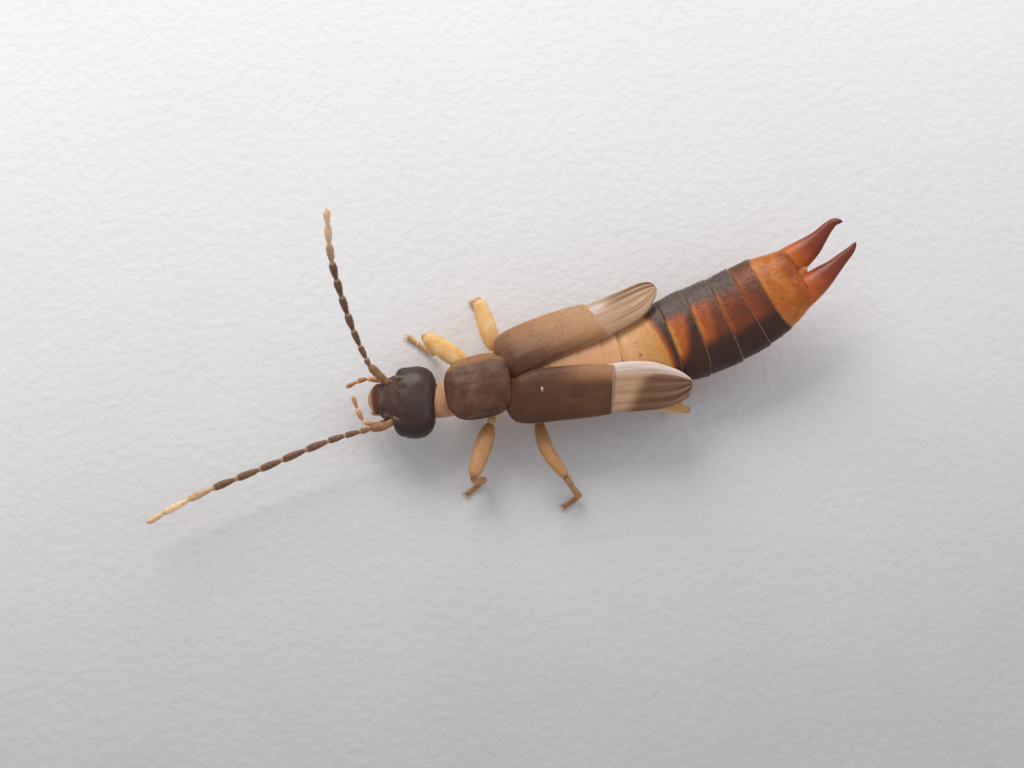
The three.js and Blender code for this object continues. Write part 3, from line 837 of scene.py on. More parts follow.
# %% Feelers
SPINDLE = [
    (0, 0.5), (0.06, 0.58), (0.2, 0.74), (0.4, 0.9), (0.62, 1), (0.8, 0.95), (0.92, 0.76), (1, 0.56),
]
SCAPE = [(0, 0.5), (0.08, 0.72), (0.25, 0.86), (0.55, 0.98), (0.8, 1), (0.94, 0.88), (1, 0.66)]
FEELERS = {
    "right": {
        "scape": [(-1.035, 0.19, 0.6), (-1.14, 0.305, 0.66), (-1.26, 0.45, 0.74)],
        "whip": [
            (-1.245, 0.43, 0.728),
            (-1.36, 0.78, 0.93),
            (-1.45, 1.18, 1.35),
            (-1.487, 1.52, 1.75),
            (-1.45, 1.95, 2.15),
        ],
        "lengths": (0.45, 0.8, 1, 1.1, 1.15, 1.15, 1.1, 1.1, 1.1, 1.0),
        "pale": (0, 0, 0, 0, 0, 0, 0, 0.5, 0.9, 1),
    },
    "left": {
        "scape": [(-1.02, -0.235, 0.6), (-1.17, -0.3, 0.61), (-1.36, -0.31, 0.61)],
        "whip": [
            (-1.335, -0.31, 0.61),
            (-1.8, -0.37, 0.58),
            (-2.61, -0.57, 0.53),
            (-3.46, -0.79, 0.5),
            (-4.1, -1.03, 0.48),
        ],
        "lengths": (0.45, 0.68, 0.75, 1, 1.1, 1, 1.05, 1.05, 1.1, 1.15, 0.85),
        "pale": (0, 0, 0, 0, 0, 0, 0, 0, 0.6, 1, 0.85),
    },
}
WHIP_RADIUS = 0.045
SCAPE_RADIUS = 0.052
JOINT_ROWS = 18
JOINT_SIDES = 24


def jointed(line, lengths, widths, radius, outline=SPINDLE):
    """A row of joints along a line: ring after ring, the outline read once for each joint and
    scaled by that joint's width. Returns points, share in joint, joint number."""
    ends = np.append(0, np.cumsum(lengths)) / np.sum(lengths)
    within = np.linspace(0.015, 0.985, JOINT_ROWS)
    places = (ends[:-1, None] + np.diff(ends)[:, None] * within).ravel()
    share = np.tile(within, len(lengths))
    number = np.repeat(np.arange(len(lengths)), JOINT_ROWS)
    width = read_table(outline, share)[0] * np.repeat(widths, JOINT_ROWS) * radius
    tip = np.where(number == len(lengths) - 1, np.sqrt(1 - rise(share, 0.75, 1.02)), 1)
    middles = bend_through(line, places)
    side, up = axes_along(middles)
    angle = ring_angles(JOINT_SIDES)[:, None]
    turned = side[:, None] * np.cos(angle) + up[:, None] * np.sin(angle)
    points = middles[:, None] + turned * (width * tip)[:, None, None]
    return points, share[:, None], number


feeler_beds = []
for side, plan in FEELERS.items():
    count = len(plan["lengths"])
    widths = [0.8] + [0.82, 0.88] + [1] * (count - 4) + [0.9]
    points, share, number = jointed(plan["whip"], plan["lengths"], widths, WHIP_RADIUS)
    tone = np.array(plan["pale"])[number][:, None]
    amber = np.where(number == 0, 0.8, 0.0)[:, None]
    whip = (points, {"share": share, "pale": tone, "amber": amber})
    points, share, _ = jointed(plan["scape"], [1], [1], SCAPE_RADIUS, SCAPE)
    scape = (points, {"share": share * 0.9, "pale": 0, "amber": 1})
    replaced = [f"antenna_{side}_scape", f"antenna_{side}_flagellum"]
    build(f"feeler_{side}", [scape, whip], feeler_finish, replaced)
    feeler_beds += [scape, whip]

# %% Palps
PALPS = {
    "right": [(-1.02, 0.2, 0.45), (-1.12, 0.27, 0.46), (-1.31, 0.35, 0.44), (-1.58, 0.31, 0.34)],
    "left": [(-1.05, -0.17, 0.44), (-1.22, -0.22, 0.46), (-1.39, -0.18, 0.44), (-1.51, 0.2, 0.34)],
}
PALP_LENGTHS = (0.5, 0.6, 1.1, 1.0, 1.1)
PALP_WIDTHS = (1, 0.95, 0.95, 1, 0.9)
PALP_RADIUS = 0.031
for side, line in PALPS.items():
    points, share, number = jointed(line, PALP_LENGTHS, PALP_WIDTHS, PALP_RADIUS)
    palp = (points, {"share": share})
    build(f"palp_joints_{side}", [palp], palp_finish, [f"palp_{side}"])

# %% [markdown]
# ## The soft skin of neck and thorax
#
# Under the shield and the wings the thorax is soft, pale skin with harder plates below. A
# seam between neck and chest would look wrong, so one tube replaces all three soft solids.
# It is folded at the neck, waisted between the rings of the thorax, and sunk along the back.

# %% Finish of the soft skin
skin_finish = chitin("soft_skin", glow=0.45, depth=0.12, sheen=0.1)
blotch = skin_finish.noise(6, detail=5)
skin_tone = blotch + 0.14 * skin_finish.mark("fold")
skin_colour = skin_tone.ramp((0.25, tint("a2734f")), (0.5, tint("bd8e69")), (0.8, tint("cfa582")))
# The back between the wing cases is a pinkish tan. This is partly its own colour and partly painted
# light, which offsets the shade cast by the wing cases' edges.
back = skin_finish.mark("back") * (0.7 + 0.3 * blotch)
skin_colour = skin_finish.blend(back, skin_colour, tint("e0aa7e"))
skin_finish.paint(
    colour=skin_finish.blend(skin_finish.mark("scute") * 0.9, skin_colour, tint("7c4c36")),
    roughness=0.45 + 0.2 * blotch,
    relief=skin_finish.noise(45, detail=4),
    depth=0.006,
)
print("soft skin finish")

# %% Soft skin
TRUNK_LINE = [
    (-0.6, -0.1, 0.545),
    (-0.45, -0.08, 0.545),
    (-0.28, -0.03, 0.54),
    (-0.05, 0, 0.485),
    (0.2, 0, 0.47),
    (0.42, 0, 0.525),
    (1.0, 0.05, 0.55),
    (1.74, 0.11, 0.56),
]
TRUNK_SIZES = [
    (0, 0.15, 0.08, 0.1),
    (0.06, 0.18, 0.1, 0.12),
    (0.15, 0.208, 0.12, 0.145),
    (0.27, 0.23, 0.13, 0.16),
    (0.34, 0.25, 0.15, 0.165),
    (0.46, 0.27, 0.22, 0.17),
    (0.7, 0.285, 0.25, 0.175),
    (0.88, 0.28, 0.24, 0.175),
    (0.96, 0.262, 0.21, 0.195),
    (1.07, 0.3, 0.22, 0.235),
    (1.25, 0.33, 0.235, 0.255),
    (1.42, 0.335, 0.24, 0.245),
    (1.55, 0.35, 0.25, 0.26),
    (2.05, 0.37, 0.255, 0.25),
    (2.36, 0.36, 0.25, 0.24),
]
NECK_FOLD_PITCH = 0.046
CREASES = (0.86, 1.22, 1.52)
trunk = tube(TRUNK_LINE, TRUNK_SIZES, rows=220, sides=120)
x, y, z = np.moveaxis(trunk, -1, 0)
neck_share = 1 - rise(x, -0.36, -0.26)
ripple = 0.014 * np.sin(13 * y + 5 * x)
fold = 0.5 + 0.5 * np.cos(2 * np.pi * (x + 0.12 * np.abs(y) + ripple) / NECK_FOLD_PITCH)
back_side = rise(z, 0.6, 0.75)
hollow = hill(y - 0.06 * x, 0.05) * back_side
crease = sum(hill(x - place, 0.02) for place in CREASES)
raised = hill(y - 0.13 * x, 0.22) * back_side * rise(x, 0.55, 0.9)
depth = 0.006 * (fold - 0.5) * neck_share + 0.034 * raised - 0.006 * hollow - 0.01 * crease
trunk = push(trunk, depth)
x = trunk[..., 0]
trunk_marks = {
    "fold": fold * neck_share + hollow,
    # the back's paler tan: its own colour, plus painted light against the wing cases' shade
    "back": rise(x, 0.5, 0.9) * back_side,
    "scute": (1 - rise(x, 0.5, 0.62)) * rise(x, 0.0, 0.1) * back_side,
}
soft_nodes = ["neck", "prothorax", "thorax"]
build("soft_trunk", [(trunk, trunk_marks)], skin_finish, soft_nodes)

# %% [markdown]
# ## Plates
#
# A plate of shell is a sheet with a rounded rim. On a polar grid it is a middle, an outline
# and a height at each place. Its upper side runs out to the rim, and the same grid comes
# back below it, a thickness lower, so the plate is one closed solid without a seam.


# %% Sheets on a polar grid
def plate(outline, height, thickness, rows=60, sides=180):
    """A closed sheet: points share * outline(turn), z = height(x, y) plus or minus half the
    thickness times the fourth root of 1 - share to the power of eight."""
    share = np.append(np.linspace(0.01, 1, rows) ** 0.7, np.linspace(1, 0.01, rows)[1:] ** 0.7)
    face = np.append(np.ones(rows), -np.ones(rows - 1))
    turn = 2 * np.pi * np.arange(sides) / sides
    edge_x, edge_y = outline(turn)
    x, y = share[:, None] * edge_x, share[:, None] * edge_y
    half = 0.5 * thickness * np.clip(1 - share**8, 0, 1) ** 0.25
    points = np.stack([x, y, height(x, y) + (half * face)[:, None]], -1)
    return points, np.broadcast_to(share[:, None], x.shape)


disc, _ = plate(lambda turn: (np.cos(turn), -np.sin(turn)), lambda x, y: 0 * x, 0.1)
print("a plate is an array of shape", disc.shape)

# %% The shield's shape
PLATE_THICKNESS = 0.03
SHIELD_HALF_LENGTH = 0.4
SHIELD_SIZES = [
    (-0.4, 0.315, 0.08),
    (-0.365, 0.335, 0.12),
    (-0.27, 0.37, 0.165),
    (-0.1, 0.386, 0.185),
    (0.15, 0.392, 0.187),
    (0.3, 0.388, 0.178),
    (0.37, 0.38, 0.158),
    (0.4, 0.375, 0.125),
]
SHIELD_RIM_HEIGHT = 0.66
SHIELD_TILT = 0.025
SHIELD_CORNERS = 3.3
SHIELD_LEAN = 0.034


def shield_outline(turn):
    """A box with bowed corners, its half width read from the table at each length."""
    x = SHIELD_HALF_LENGTH * bowed(np.cos(turn), SHIELD_CORNERS)
    half_width = read_table(SHIELD_SIZES, x)[0]
    return x, -half_width * bowed(np.sin(turn), SHIELD_CORNERS)


def shield_height(x, y):
    """A crown that falls to the rim as (1 - s to the 2.4) to the 0.6, s the share of the half
    width, with a gutter inside the side rims, a fine middle line and shallow pits."""
    half_width, crown = read_table(SHIELD_SIZES, x)
    s = np.clip(np.abs(y) / half_width, 0, 1)
    z = SHIELD_RIM_HEIGHT + SHIELD_TILT * x + crown * (1 - s**2.4) ** 0.6
    z = z - 0.02 * hill(s - 0.85, 0.06) + 0.012 * hill(s - 0.99, 0.04)
    z = z - 0.0015 * hill(y, 0.01) * (1 - rise(np.abs(x), 0.2, 0.34))
    z = z - 0.014 * hill(x + 0.17, 0.08) * hill(np.abs(y) - 0.14, 0.07)
    return z - 0.012 * hill(x - 0.14, 0.07) * hill(y, 0.26)


print("the shield is", 2 * SHIELD_HALF_LENGTH, "mm long")

# %% Shield
shield_finish = chitin("shield_shell", glow=0.12, depth=0.05)
cloud = shield_finish.noise(4.5, detail=5)
spots = shield_finish.noise(11, detail=4)
shade = cloud * 0.6 + spots * 0.4
brown = shade.ramp((0.3, tint("42261a")), (0.5, tint("5c3a28")), (0.7, tint("795440")))
# The pale thin rim is the margin's own colour. It is painted stronger on the right side, which faces
# the lamp, so it is partly painted light.
thin_rim = shield_finish.mark("thin_rim") + 0.35 * (spots - 0.5)
shield_colour = shield_finish.blend(thin_rim.rise(0.3, 0.85), brown, tint("986a40"))
shield_finish.paint(
    colour=shield_finish.blend(shield_finish.mark("edge") * 0.85, shield_colour, tint("33211b")),
    roughness=0.36 + 0.16 * spots,
    relief=shield_finish.noise(80, detail=3) + spots * 3,
    depth=0.003,
)
shield, share = plate(shield_outline, shield_height, PLATE_THICKNESS)
sideways = np.abs(shield[..., 1]) / read_table(SHIELD_SIZES, shield[..., 0])[0]
shield_marks = {
    # the pale margin, painted about three times as strong on the right side that faces the lamp, as
    # painted light
    "thin_rim": rise(sideways, 0.36, 0.98) * (0.3 + 0.7 * rise(shield[..., 1], -0.2, 0.2)),
    "edge": rise(share, 0.975, 1.0),
}
shield[..., 1] -= SHIELD_LEAN * rise(-shield[..., 0], -0.1, 0.4)
build("shield_plate", [(shield, shield_marks)], shield_finish, ["pronotum"])

# %% Breast plates
breast_finish = chitin("breast_shell", roughness=0.42, glow=0.2, depth=0.06)
freckle = breast_finish.noise(9, detail=4)
breast_finish.paint(
    colour=freckle.ramp((0.3, tint("8a5a38")), (0.55, tint("a8754a")), (0.75, tint("bd8c5e"))),
    relief=breast_finish.noise(70),
    depth=0.003,
)
BREAST_CORNERS = 2.6
BREAST_CURVE = 2.2
TRUNK_HALF_WIDTH = 0.36
# middle, half length, half width, height of the body's line, drop below it
BREAST_PLATES = [
    (-0.02, 0.27, 0.17, 0.486, 0.182),
    (0.68, 0.25, 0.22, 0.54, 0.262),
    (1.28, 0.3, 0.24, 0.55, 0.262),
]
breasts = []
for middle, half_length, half_width, line_height, drop in BREAST_PLATES:

    def breast_outline(turn):
        """A box with bowed corners."""
        ahead = half_length * bowed(np.cos(turn), BREAST_CORNERS)
        return ahead, -half_width * bowed(np.sin(turn), BREAST_CORNERS)

    def breast_height(x, y):
        """Below the body's line by the drop, along a superellipse across."""
        share = np.abs(y) / TRUNK_HALF_WIDTH
        return line_height - drop * (1 - share**BREAST_CURVE) ** (1 / BREAST_CURVE)

    points, _ = plate(breast_outline, breast_height, PLATE_THICKNESS, rows=30, sides=90)
    breasts.append((points + (middle, 0.06 * max(middle, 0), 0), {}))
build("breast_plates", breasts, breast_finish)

# %% [markdown]
# ## Wing cases and folded wings
#
# A wing case is a thin leathery sheet, arched across, with its outer edge folded down over
# the animal's side. Its ring is a crescent: out along the top of a superellipse, and back a
# thickness below. The left case lies over the right one, so the inner edge of the right one
# is sunk where they cross. The folded wing behind is the same crescent with pleats.

# %% Crescents
SHEET_ROWS = 110
SHEET_STEPS = 64
SHEET_POWER = 2.5
SHEET_ARC = np.radians([-42, 186])


def sheet(start, end, sizes, thickness, outer, roll, slant=0.0, pleat=None):
    """A thin arched sheet along a straight line, in rings of an outer and an inner arc.

    sizes has rows of place, width inside and outside the line, arch, and fold, which is how
    far the outer edge comes down. outer is 1 where that edge is on the line's side direction
    and -1 where it is on the other. The end is cut at a slant, and pleat adds to the height.
    Returns the points and three grids: across from -1 inside to 1 outside, along, and face.
    """
    start, end = np.array(start), np.array(end)
    length = np.linalg.norm(end - start)
    first, last = sizes[0][0], sizes[-1][0]
    along = first + (last - first) * crowd_ends(SHEET_ROWS)
    inside, outside, arch, fold = (column[:, None] for column in read_table(sizes, along))
    arc = np.linspace(*SHEET_ARC, SHEET_STEPS)
    arc = np.append(arc, arc[::-1])[None]
    face = np.append(np.ones(SHEET_STEPS), -np.ones(SHEET_STEPS))[None]
    inset = np.where(face > 0, 0, thickness)
    across = bowed(np.cos(arc), SHEET_POWER)
    height = np.where(np.sin(arc) > 0, arch - inset, fold - inset)
    height = height * bowed(np.sin(arc), SHEET_POWER)
    if pleat:
        height = height + pleat(across, along[:, None])
    sideways = (np.where(across > 0, outside, inside) - inset) * across * outer
    middles = start + (end - start) * (along / length)[:, None]
    side, up = axes_along(middles, roll)
    ahead = np.cross(side, up)
    shift = -slant * across * rise(along, last - 0.5, last)[:, None]
    points = middles[:, None] + side[:, None] * sideways[..., None]
    points = points + up[:, None] * height[..., None] + ahead[:, None] * shift[..., None]
    if outer < 0:
        points = points[:, ::-1]
        across = across[:, ::-1]
        face = face[:, ::-1]
    grids = np.broadcast_arrays(across, ((along - first) / (last - first))[:, None], face)
    return points, *grids


print("crescents are ready")

# %% Finish of the wing cases
case_finish = chitin("wing_case_shell", glow=0.15, depth=0.04)
across = case_finish.mark("across")
along = case_finish.mark("along")
lengthwise = case_finish.node("CombineXYZ", {0: across * 6, 1: along * 2.5})
streak = case_finish.noise(1, detail=4, pattern=lengthwise)
cloud = case_finish.noise(3.5, detail=4)
tan = case_finish.mark("tan") + 0.3 * (streak - 0.5) + 0.34 * (cloud - 0.5)
case_colour = tan.ramp(
    (0.0, tint("54331f")),
    (0.25, tint("704a31")),
    (0.5, tint("956844")),
    (0.8, tint("ad8059")),
    (1.0, tint("ba9068")),
)
case_colour = case_finish.blend(case_finish.mark("edge") * 0.6, case_colour, tint("c9a988"))
case_finish.paint(
    colour=case_finish.blend(case_finish.mark("speck"), case_colour, tint("eee6da")),
    roughness=0.42 + 0.16 * cloud,
    relief=case_finish.noise(75, detail=3) + 0.8 * streak,
    depth=0.003,
)
print("wing case finish")

# %% Wing cases
RIGHT_CASE_SIZES = [
    (0, 0.06, 0.1, 0.02, 0.03),
    (0.02, 0.11, 0.19, 0.045, 0.055),
    (0.06, 0.175, 0.285, 0.07, 0.085),
    (0.12, 0.212, 0.352, 0.093, 0.108),
    (0.22, 0.235, 0.388, 0.112, 0.124),
    (0.36, 0.25, 0.397, 0.122, 0.13),
    (0.8, 0.25, 0.367, 0.124, 0.13),
    (1.22, 0.25, 0.3, 0.112, 0.12),
    (1.28, 0.247, 0.289, 0.107, 0.115),
    (1.3, 0.235, 0.275, 0.1, 0.1),
]
LEFT_CASE_SIZES = [
    (0, 0.04, 0.1, 0.02, 0.03),
    (0.02, 0.08, 0.17, 0.045, 0.055),
    (0.06, 0.14, 0.245, 0.07, 0.085),
    (0.12, 0.195, 0.3, 0.093, 0.108),
    (0.22, 0.245, 0.332, 0.112, 0.124),
    (0.36, 0.288, 0.34, 0.122, 0.13),
    (0.6, 0.31, 0.336, 0.124, 0.13),
    (0.9, 0.308, 0.333, 0.122, 0.13),
    (1.24, 0.27, 0.32, 0.112, 0.12),
    (1.275, 0.262, 0.313, 0.107, 0.115),
    (1.29, 0.25, 0.3, 0.1, 0.1),
]
CASES = {
    "right": {
        "start": (0.27, 0.19, 0.755),
        "end": (1.5, 0.56, 0.8),
        "sizes": RIGHT_CASE_SIZES,
        "roll": -16,
        "outer": 1,
        "slant": 0.048,
    },
    "left": {
        "start": (0.29, -0.2, 0.76),
        "end": (1.57, -0.27, 0.8),
        "sizes": LEFT_CASE_SIZES,
        "roll": 14,
        "outer": -1,
        "slant": 0.042,
    },
}
CASE_THICKNESS = 0.016
SEAM_DROP = 0.05
SHIELD_DROP = 0.05
SPECK = (0.739, -0.192)
case_beds = []
for side, plan in CASES.items():
    points, across, along, face = sheet(thickness=CASE_THICKNESS, **plan)
    if side == "right":
        points[..., 2] -= SEAM_DROP * rise(-across, 0.1, 0.9) * (1 - rise(points[..., 0], 0.55, 1.0))
        tan = rise(0.9 * along + 0.3 * across, -0.25, 1.05)
    else:
        tan = 0.62 * rise(along, 0.35, 0.95) * rise(-across, 0.0, 0.75) + 0.1 * along
    under_shield = 1 - rise(points[..., 0], 0.36, 0.5)
    points[..., 2] -= SHIELD_DROP * under_shield * hill(points[..., 1], 0.4)
    from_speck = np.hypot(points[..., 0] - SPECK[0], (points[..., 1] - SPECK[1]) * 0.6)
    marks = {
        "across": across,
        "along": along,
        "tan": tan,
        "edge": np.maximum(rise(along, 0.985, 0.996), 0.5 * rise(np.abs(across), 0.96, 1.0)),
        "speck": 0.9 * (1 - rise(from_speck, 0.008, 0.016)),
    }
    name = f"wing_case_{side}"
    build(name, [(points, marks, "strip")], case_finish, [f"tegmen_{side}"], 60)
    case_beds.append((points, marks, face > 0))

# %% Finish of the folded wings
wing_finish = chitin("folded_wing", glow=0.3, depth=0.04, sheen=0.1)
across = wing_finish.mark("across")
along = wing_finish.mark("along")
lengthwise = wing_finish.node("CombineXYZ", {0: across * 9, 1: along * 2})
fine = wing_finish.noise(1, detail=5, pattern=lengthwise)
straw = fine.ramp((0.3, tint("a98463")), (0.55, tint("ba9574")), (0.75, tint("cdaa89")))
patch = fine.ramp((0.3, tint("66432d")), (0.6, tint("7a543a")), (0.8, tint("936e53")))
stain = wing_finish.mark("stain") + 0.2 * (fine - 0.5)
wing_colour = wing_finish.blend(stain.rise(0.2, 0.8), straw, patch)
shine = wing_finish.mark("shine") * (fine * 1.8 - 0.1)
wing_colour = wing_finish.blend(shine, wing_colour, tint("e6d2cd"))
# Painted light on the pleats: the crests are painted paler as a highlight, and the valleys darker as
# shade.
wing_colour = wing_finish.blend(wing_finish.mark("crest") * 0.6, wing_colour, tint("e3cab4"))
wing_colour = wing_finish.blend(wing_finish.mark("valley") * 0.85, wing_colour, tint("5c3b28"))
wing_colour = wing_finish.blend(wing_finish.mark("edge"), wing_colour, tint("dcc3ab"))
wing_finish.paint(
    colour=wing_colour,
    roughness=0.34 + 0.2 * fine,
    relief=fine + wing_finish.noise(70),
    depth=0.003,
)
print("folded wing finish")

# %% Places and sizes of the folded wings
WINGS = {
    "right": {
        "start": (1.26, 0.486, 0.79),
        "end": (2.3, 0.87, 0.815),
        "roll": -12,
        "outer": 1,
    },
    "left": {
        "start": (1.3, -0.252, 0.79),
        "end": (2.56, -0.35, 0.815),
        "roll": 10,
        "outer": -1,
    },
}
WING_SIZES = {
    "right": [
        (0, 0.235, 0.235, 0.07, 0.05),
        (0.235, 0.25, 0.232, 0.072, 0.05),
        (0.5, 0.258, 0.208, 0.07, 0.05),
        (0.7, 0.254, 0.19, 0.063, 0.045),
        (0.85, 0.216, 0.18, 0.055, 0.04),
        (0.95, 0.156, 0.166, 0.045, 0.035),
        (1.02, 0.1, 0.14, 0.036, 0.03),
        (1.065, 0.055, 0.104, 0.026, 0.022),
        (1.09, 0.018, 0.045, 0.014, 0.012),
    ],
    "left": [
        (0, 0.25, 0.25, 0.075, 0.05),
        (0.25, 0.285, 0.29, 0.075, 0.05),
        (0.5, 0.3, 0.303, 0.073, 0.05),
        (0.75, 0.276, 0.3, 0.068, 0.048),
        (0.92, 0.222, 0.278, 0.06, 0.044),
        (1.02, 0.178, 0.248, 0.05, 0.04),
        (1.1, 0.132, 0.2, 0.04, 0.034),
        (1.16, 0.086, 0.145, 0.03, 0.026),
        (1.2, 0.046, 0.09, 0.02, 0.018),
        (1.218, 0.016, 0.04, 0.012, 0.01),
    ],
}
print(len(WINGS), "folded wings are planned")

# %% Folded wings
WING_THICKNESS = 0.01
PLEATS = 4.5
LAYER_GAP = 0.03
LAYER_CUT = 0.012
LAYER_DROP = 0.01


def pleat_wave(across):
    """The folds across a wing, a little closer together towards its outer edge."""
    return np.sin(np.pi * PLEATS * (across + 0.14 * across**2))


def pleats(across, along):
    """Low folds along the wing, deeper towards its tip and its outer edge."""
    return (0.004 + 0.007 * rise(along, 0.3, 1.0)) * (0.6 + 0.4 * across) * pleat_wave(across)


def smaller(sizes):
    """A table of sizes for the layer below: a little narrower, shorter and flatter."""
    return [
        (place * (1 - LAYER_CUT), inside - LAYER_CUT, outside - LAYER_CUT, arch - LAYER_DROP, fold)
        for place, inside, outside, arch, fold in sizes
    ]


for side, plan in WINGS.items():
    tubes = []
    layers = (WING_SIZES[side], smaller(WING_SIZES[side][:-1]))
    for layer, sizes in enumerate(layers):
        points, across, along, _ = sheet(sizes=sizes, thickness=WING_THICKNESS, pleat=pleats, **plan)
        points[..., 2] -= LAYER_GAP * layer
        wave = pleat_wave(across)
        if side == "right":
            stain = rise(along, 0.25, 0.6) * (0.12 + 0.4 * rise(across, -0.1, 0.5))
            shine = 0.9 * rise(0.5 - along, 0.0, 0.2) * hill(across - 0.45, 0.3)
            depth, pale_edge = 0.85, 0.7
        else:
            stain = rise(along + 0.14 * across, 0.3, 0.7) * rise(across, -0.72, -0.25)
            shine = rise(-across, 0.36, 0.85) * rise(along, 0.05, 0.3)
            depth, pale_edge = 0.15, 0.35
        # Painted highlight on the pleat crests and painted shade in their valleys; depth sets how
        # strong they are on each wing.
        valley = rise(-wave, 0.72, 1.0) * rise(along, 0.25, 0.5)
        crest = rise(wave, 0.6, 1.0) * rise(along, 0.45, 0.8)
        marks = {
            "across": across,
            "along": along,
            "stain": stain,
            "shine": shine,
            "valley": depth * valley * (0.45 + 0.55 * rise(across, -0.3, 0.4)),
            "crest": depth * crest * (0.3 + 0.7 * rise(across, -0.5, 0.3)),
            "edge": pale_edge * np.maximum(rise(along, 0.985, 1.0), rise(np.abs(across), 0.985, 1.0)),
        }
        tubes.append((points, marks, "strip"))
    name = f"folded_wing_{side}"
    build(name, tubes, wing_finish, [f"hindwing_{side}"], 60)

# %% [markdown]
# ## The abdomen, ring inside ring
#
# An earwig's abdomen telescopes: the rear edge of each ring lies over the front of the next.
# Each ring is a closed tube along the same bent line. Its front is tucked in below the ring
# before it, and its rear edge is rolled. The back plate and the belly plate meet in a groove
# along each side. The first ring is longer, as the wings cover most of it. The pattern is one
# number, the tone, which runs from straw over orange and red-brown to near black. It is set
# by place on the ring, and noise blurs its borders.

# %% Finish of the abdomen
ring_finish = chitin("abdomen_rings", glow=0.3, depth=0.09, coat=0.06)
cloud = ring_finish.noise(5, detail=5)
spots = ring_finish.noise(16, detail=4)
tone = ring_finish.mark("tone") + 0.3 * (cloud - 0.5) + 0.16 * (spots - 0.5)
pattern = tone.ramp(
    (0.0, tint("cfa466")),
    (0.14, tint("c98f3e")),
    (0.3, tint("b8611b")),
    (0.45, tint("98481c")),
    (0.62, tint("71371c")),
    (0.78, tint("43261b")),
    (1.0, tint("38221a")),
)
# A painted sky sheen: the dark right side of each ring is painted greyer, standing in for the pale
# sky's reflection there.
grey = ring_finish.mark("grey") * (0.6 + 0.5 * cloud)
pattern = ring_finish.blend(grey, pattern, tint("5c4d43"))
pattern = ring_finish.blend(ring_finish.mark("pale") * (0.7 + 0.3 * cloud), pattern, tint("dda679"))
pattern = ring_finish.blend(ring_finish.mark("dot"), pattern, tint("4a2f20"))
pattern = ring_finish.blend(ring_finish.mark("rim") * 0.8, pattern, tint("a17f58"))
ring_finish.paint(
    colour=pattern,
    roughness=0.3 + 0.16 * cloud,
    relief=ring_finish.noise(85, detail=3) + spots * 2,
    depth=0.003,
)
print("abdomen finish")

# %% Line, sizes and pattern of the rings
ABDOMEN_LINE = [
    (1.7, 0.1, 0.56),
    (2.39, 0.245, 0.59),
    (3.05, 0.405, 0.65),
    (3.63, 0.61, 0.78),
    (4.1, 0.8, 0.92),
]
ABDOMEN_SIZES = [
    (-0.1, 0.35, 0.24, 0.24),
    (0, 0.374, 0.261, 0.261),
    (0.35, 0.451, 0.27, 0.27),
    (0.72, 0.525, 0.278, 0.278),
    (1.02, 0.55, 0.29, 0.29),
    (1.4, 0.542, 0.29, 0.29),
    (1.74, 0.525, 0.281, 0.281),
    (2.04, 0.48, 0.267, 0.267),
    (2.3, 0.4, 0.235, 0.232),
    (2.4, 0.366, 0.21, 0.21),
    (2.5, 0.32, 0.17, 0.18),
]
TUCK = 0.06
# tones: of the front strip, the middle and the rear. rear: the share along at which the rear
# starts, and lean shifts it towards one side. right, left: the shares across at which the
# sides turn dark, and flare moves the right one out at the front. rim: how strong it is
RINGS = [
    {
        "from": 0.07, "to": 0.65, "tones": (0.03, 0.1, 0.78), "rear": 0.82, "lean": -0.12,
        "right": 0.5, "left": 0.86, "flare": 0.9, "rim": 0.3,
    },
    {
        "from": 0.65, "to": 0.98, "tones": (0.22, 0.34, 0.78), "rear": 0.6, "lean": 0.5,
        "right": 0.42, "left": 0.62, "flare": 0, "rim": 0.55,
    },
    {
        "from": 0.98, "to": 1.38, "tones": (0.28, 0.41, 0.64), "rear": 0.56, "lean": 0.35,
        "right": 0.52, "left": 0.46, "flare": 0, "rim": 0.55,
    },
    {
        "from": 1.38, "to": 1.72, "tones": (0.42, 0.58, 0.62), "rear": 0.5, "lean": 0,
        "right": 0.56, "left": 0.55, "flare": 0, "rim": 0.5,
    },
    {
        "from": 1.72, "to": 2.03, "tones": (0.5, 0.56, 0.6), "rear": 0.5, "lean": 0,
        "right": 0.95, "left": 0.52, "flare": 0, "rim": 0.45,
    },
    {
        "from": 2.03, "to": 2.5, "tones": (0.26, 0.27, 0.31), "rear": 0.6, "lean": 0,
        "right": 1.4, "left": 1.4, "flare": 0, "rim": 0,
    },
]
EDGE_BOW = [
    (0.0, 0.03), (0.65, 0.04), (0.98, 0.05), (1.38, 0.01), (1.72, 0.0), (2.03, -0.05), (2.5, -0.04),
]
SIDE_GROOVE = math.radians(20)
DOT = (1.962, 0.062)
FORCEPS_BUMPS = [(3.9, 0.93, 0.98), (3.96, 0.56, 0.98)]
BUMP_HEIGHT = 0.012
HOLLOW_DEPTH = 0.03
FRONT_DEPTH = 0.034
EDGE_DEPTH = 0.012
GROOVE_DEPTH = 0.02
DARK_TONE = 0.84
BELLY_TONE = 0.34
RING_POWER = 2.1
RING_ROWS = 70
RING_SIDES = 160
print(f"the abdomen's line is {length_of(ABDOMEN_LINE):.2f} mm long")


# %% Rings
def ring_tone(plan, across, place):
    """The tone on the back: front strip, middle and rear in turn, and dark on both sides."""
    v = (place - plan["from"]) / (plan["to"] - plan["from"])
    strip, middle, rear = plan["tones"]
    tone = strip + (middle - strip) * rise(v, 0.08, 0.2)
    behind = v - plan["lean"] * across + 0.12 * across**2
    blur = 0.065 / (plan["to"] - plan["from"])
    tone = tone + (rear - middle) * rise(behind, plan["rear"] - blur, plan["rear"] + blur)
    right = plan["right"] + plan["flare"] * (1 - np.clip(v, 0, 1))
    dark = rise(across, right - 0.2, right + 0.16)
    dark = np.maximum(dark, rise(-across, plan["left"] - 0.2, plan["left"] + 0.16))
    return tone + np.maximum(DARK_TONE - tone, 0) * dark, dark


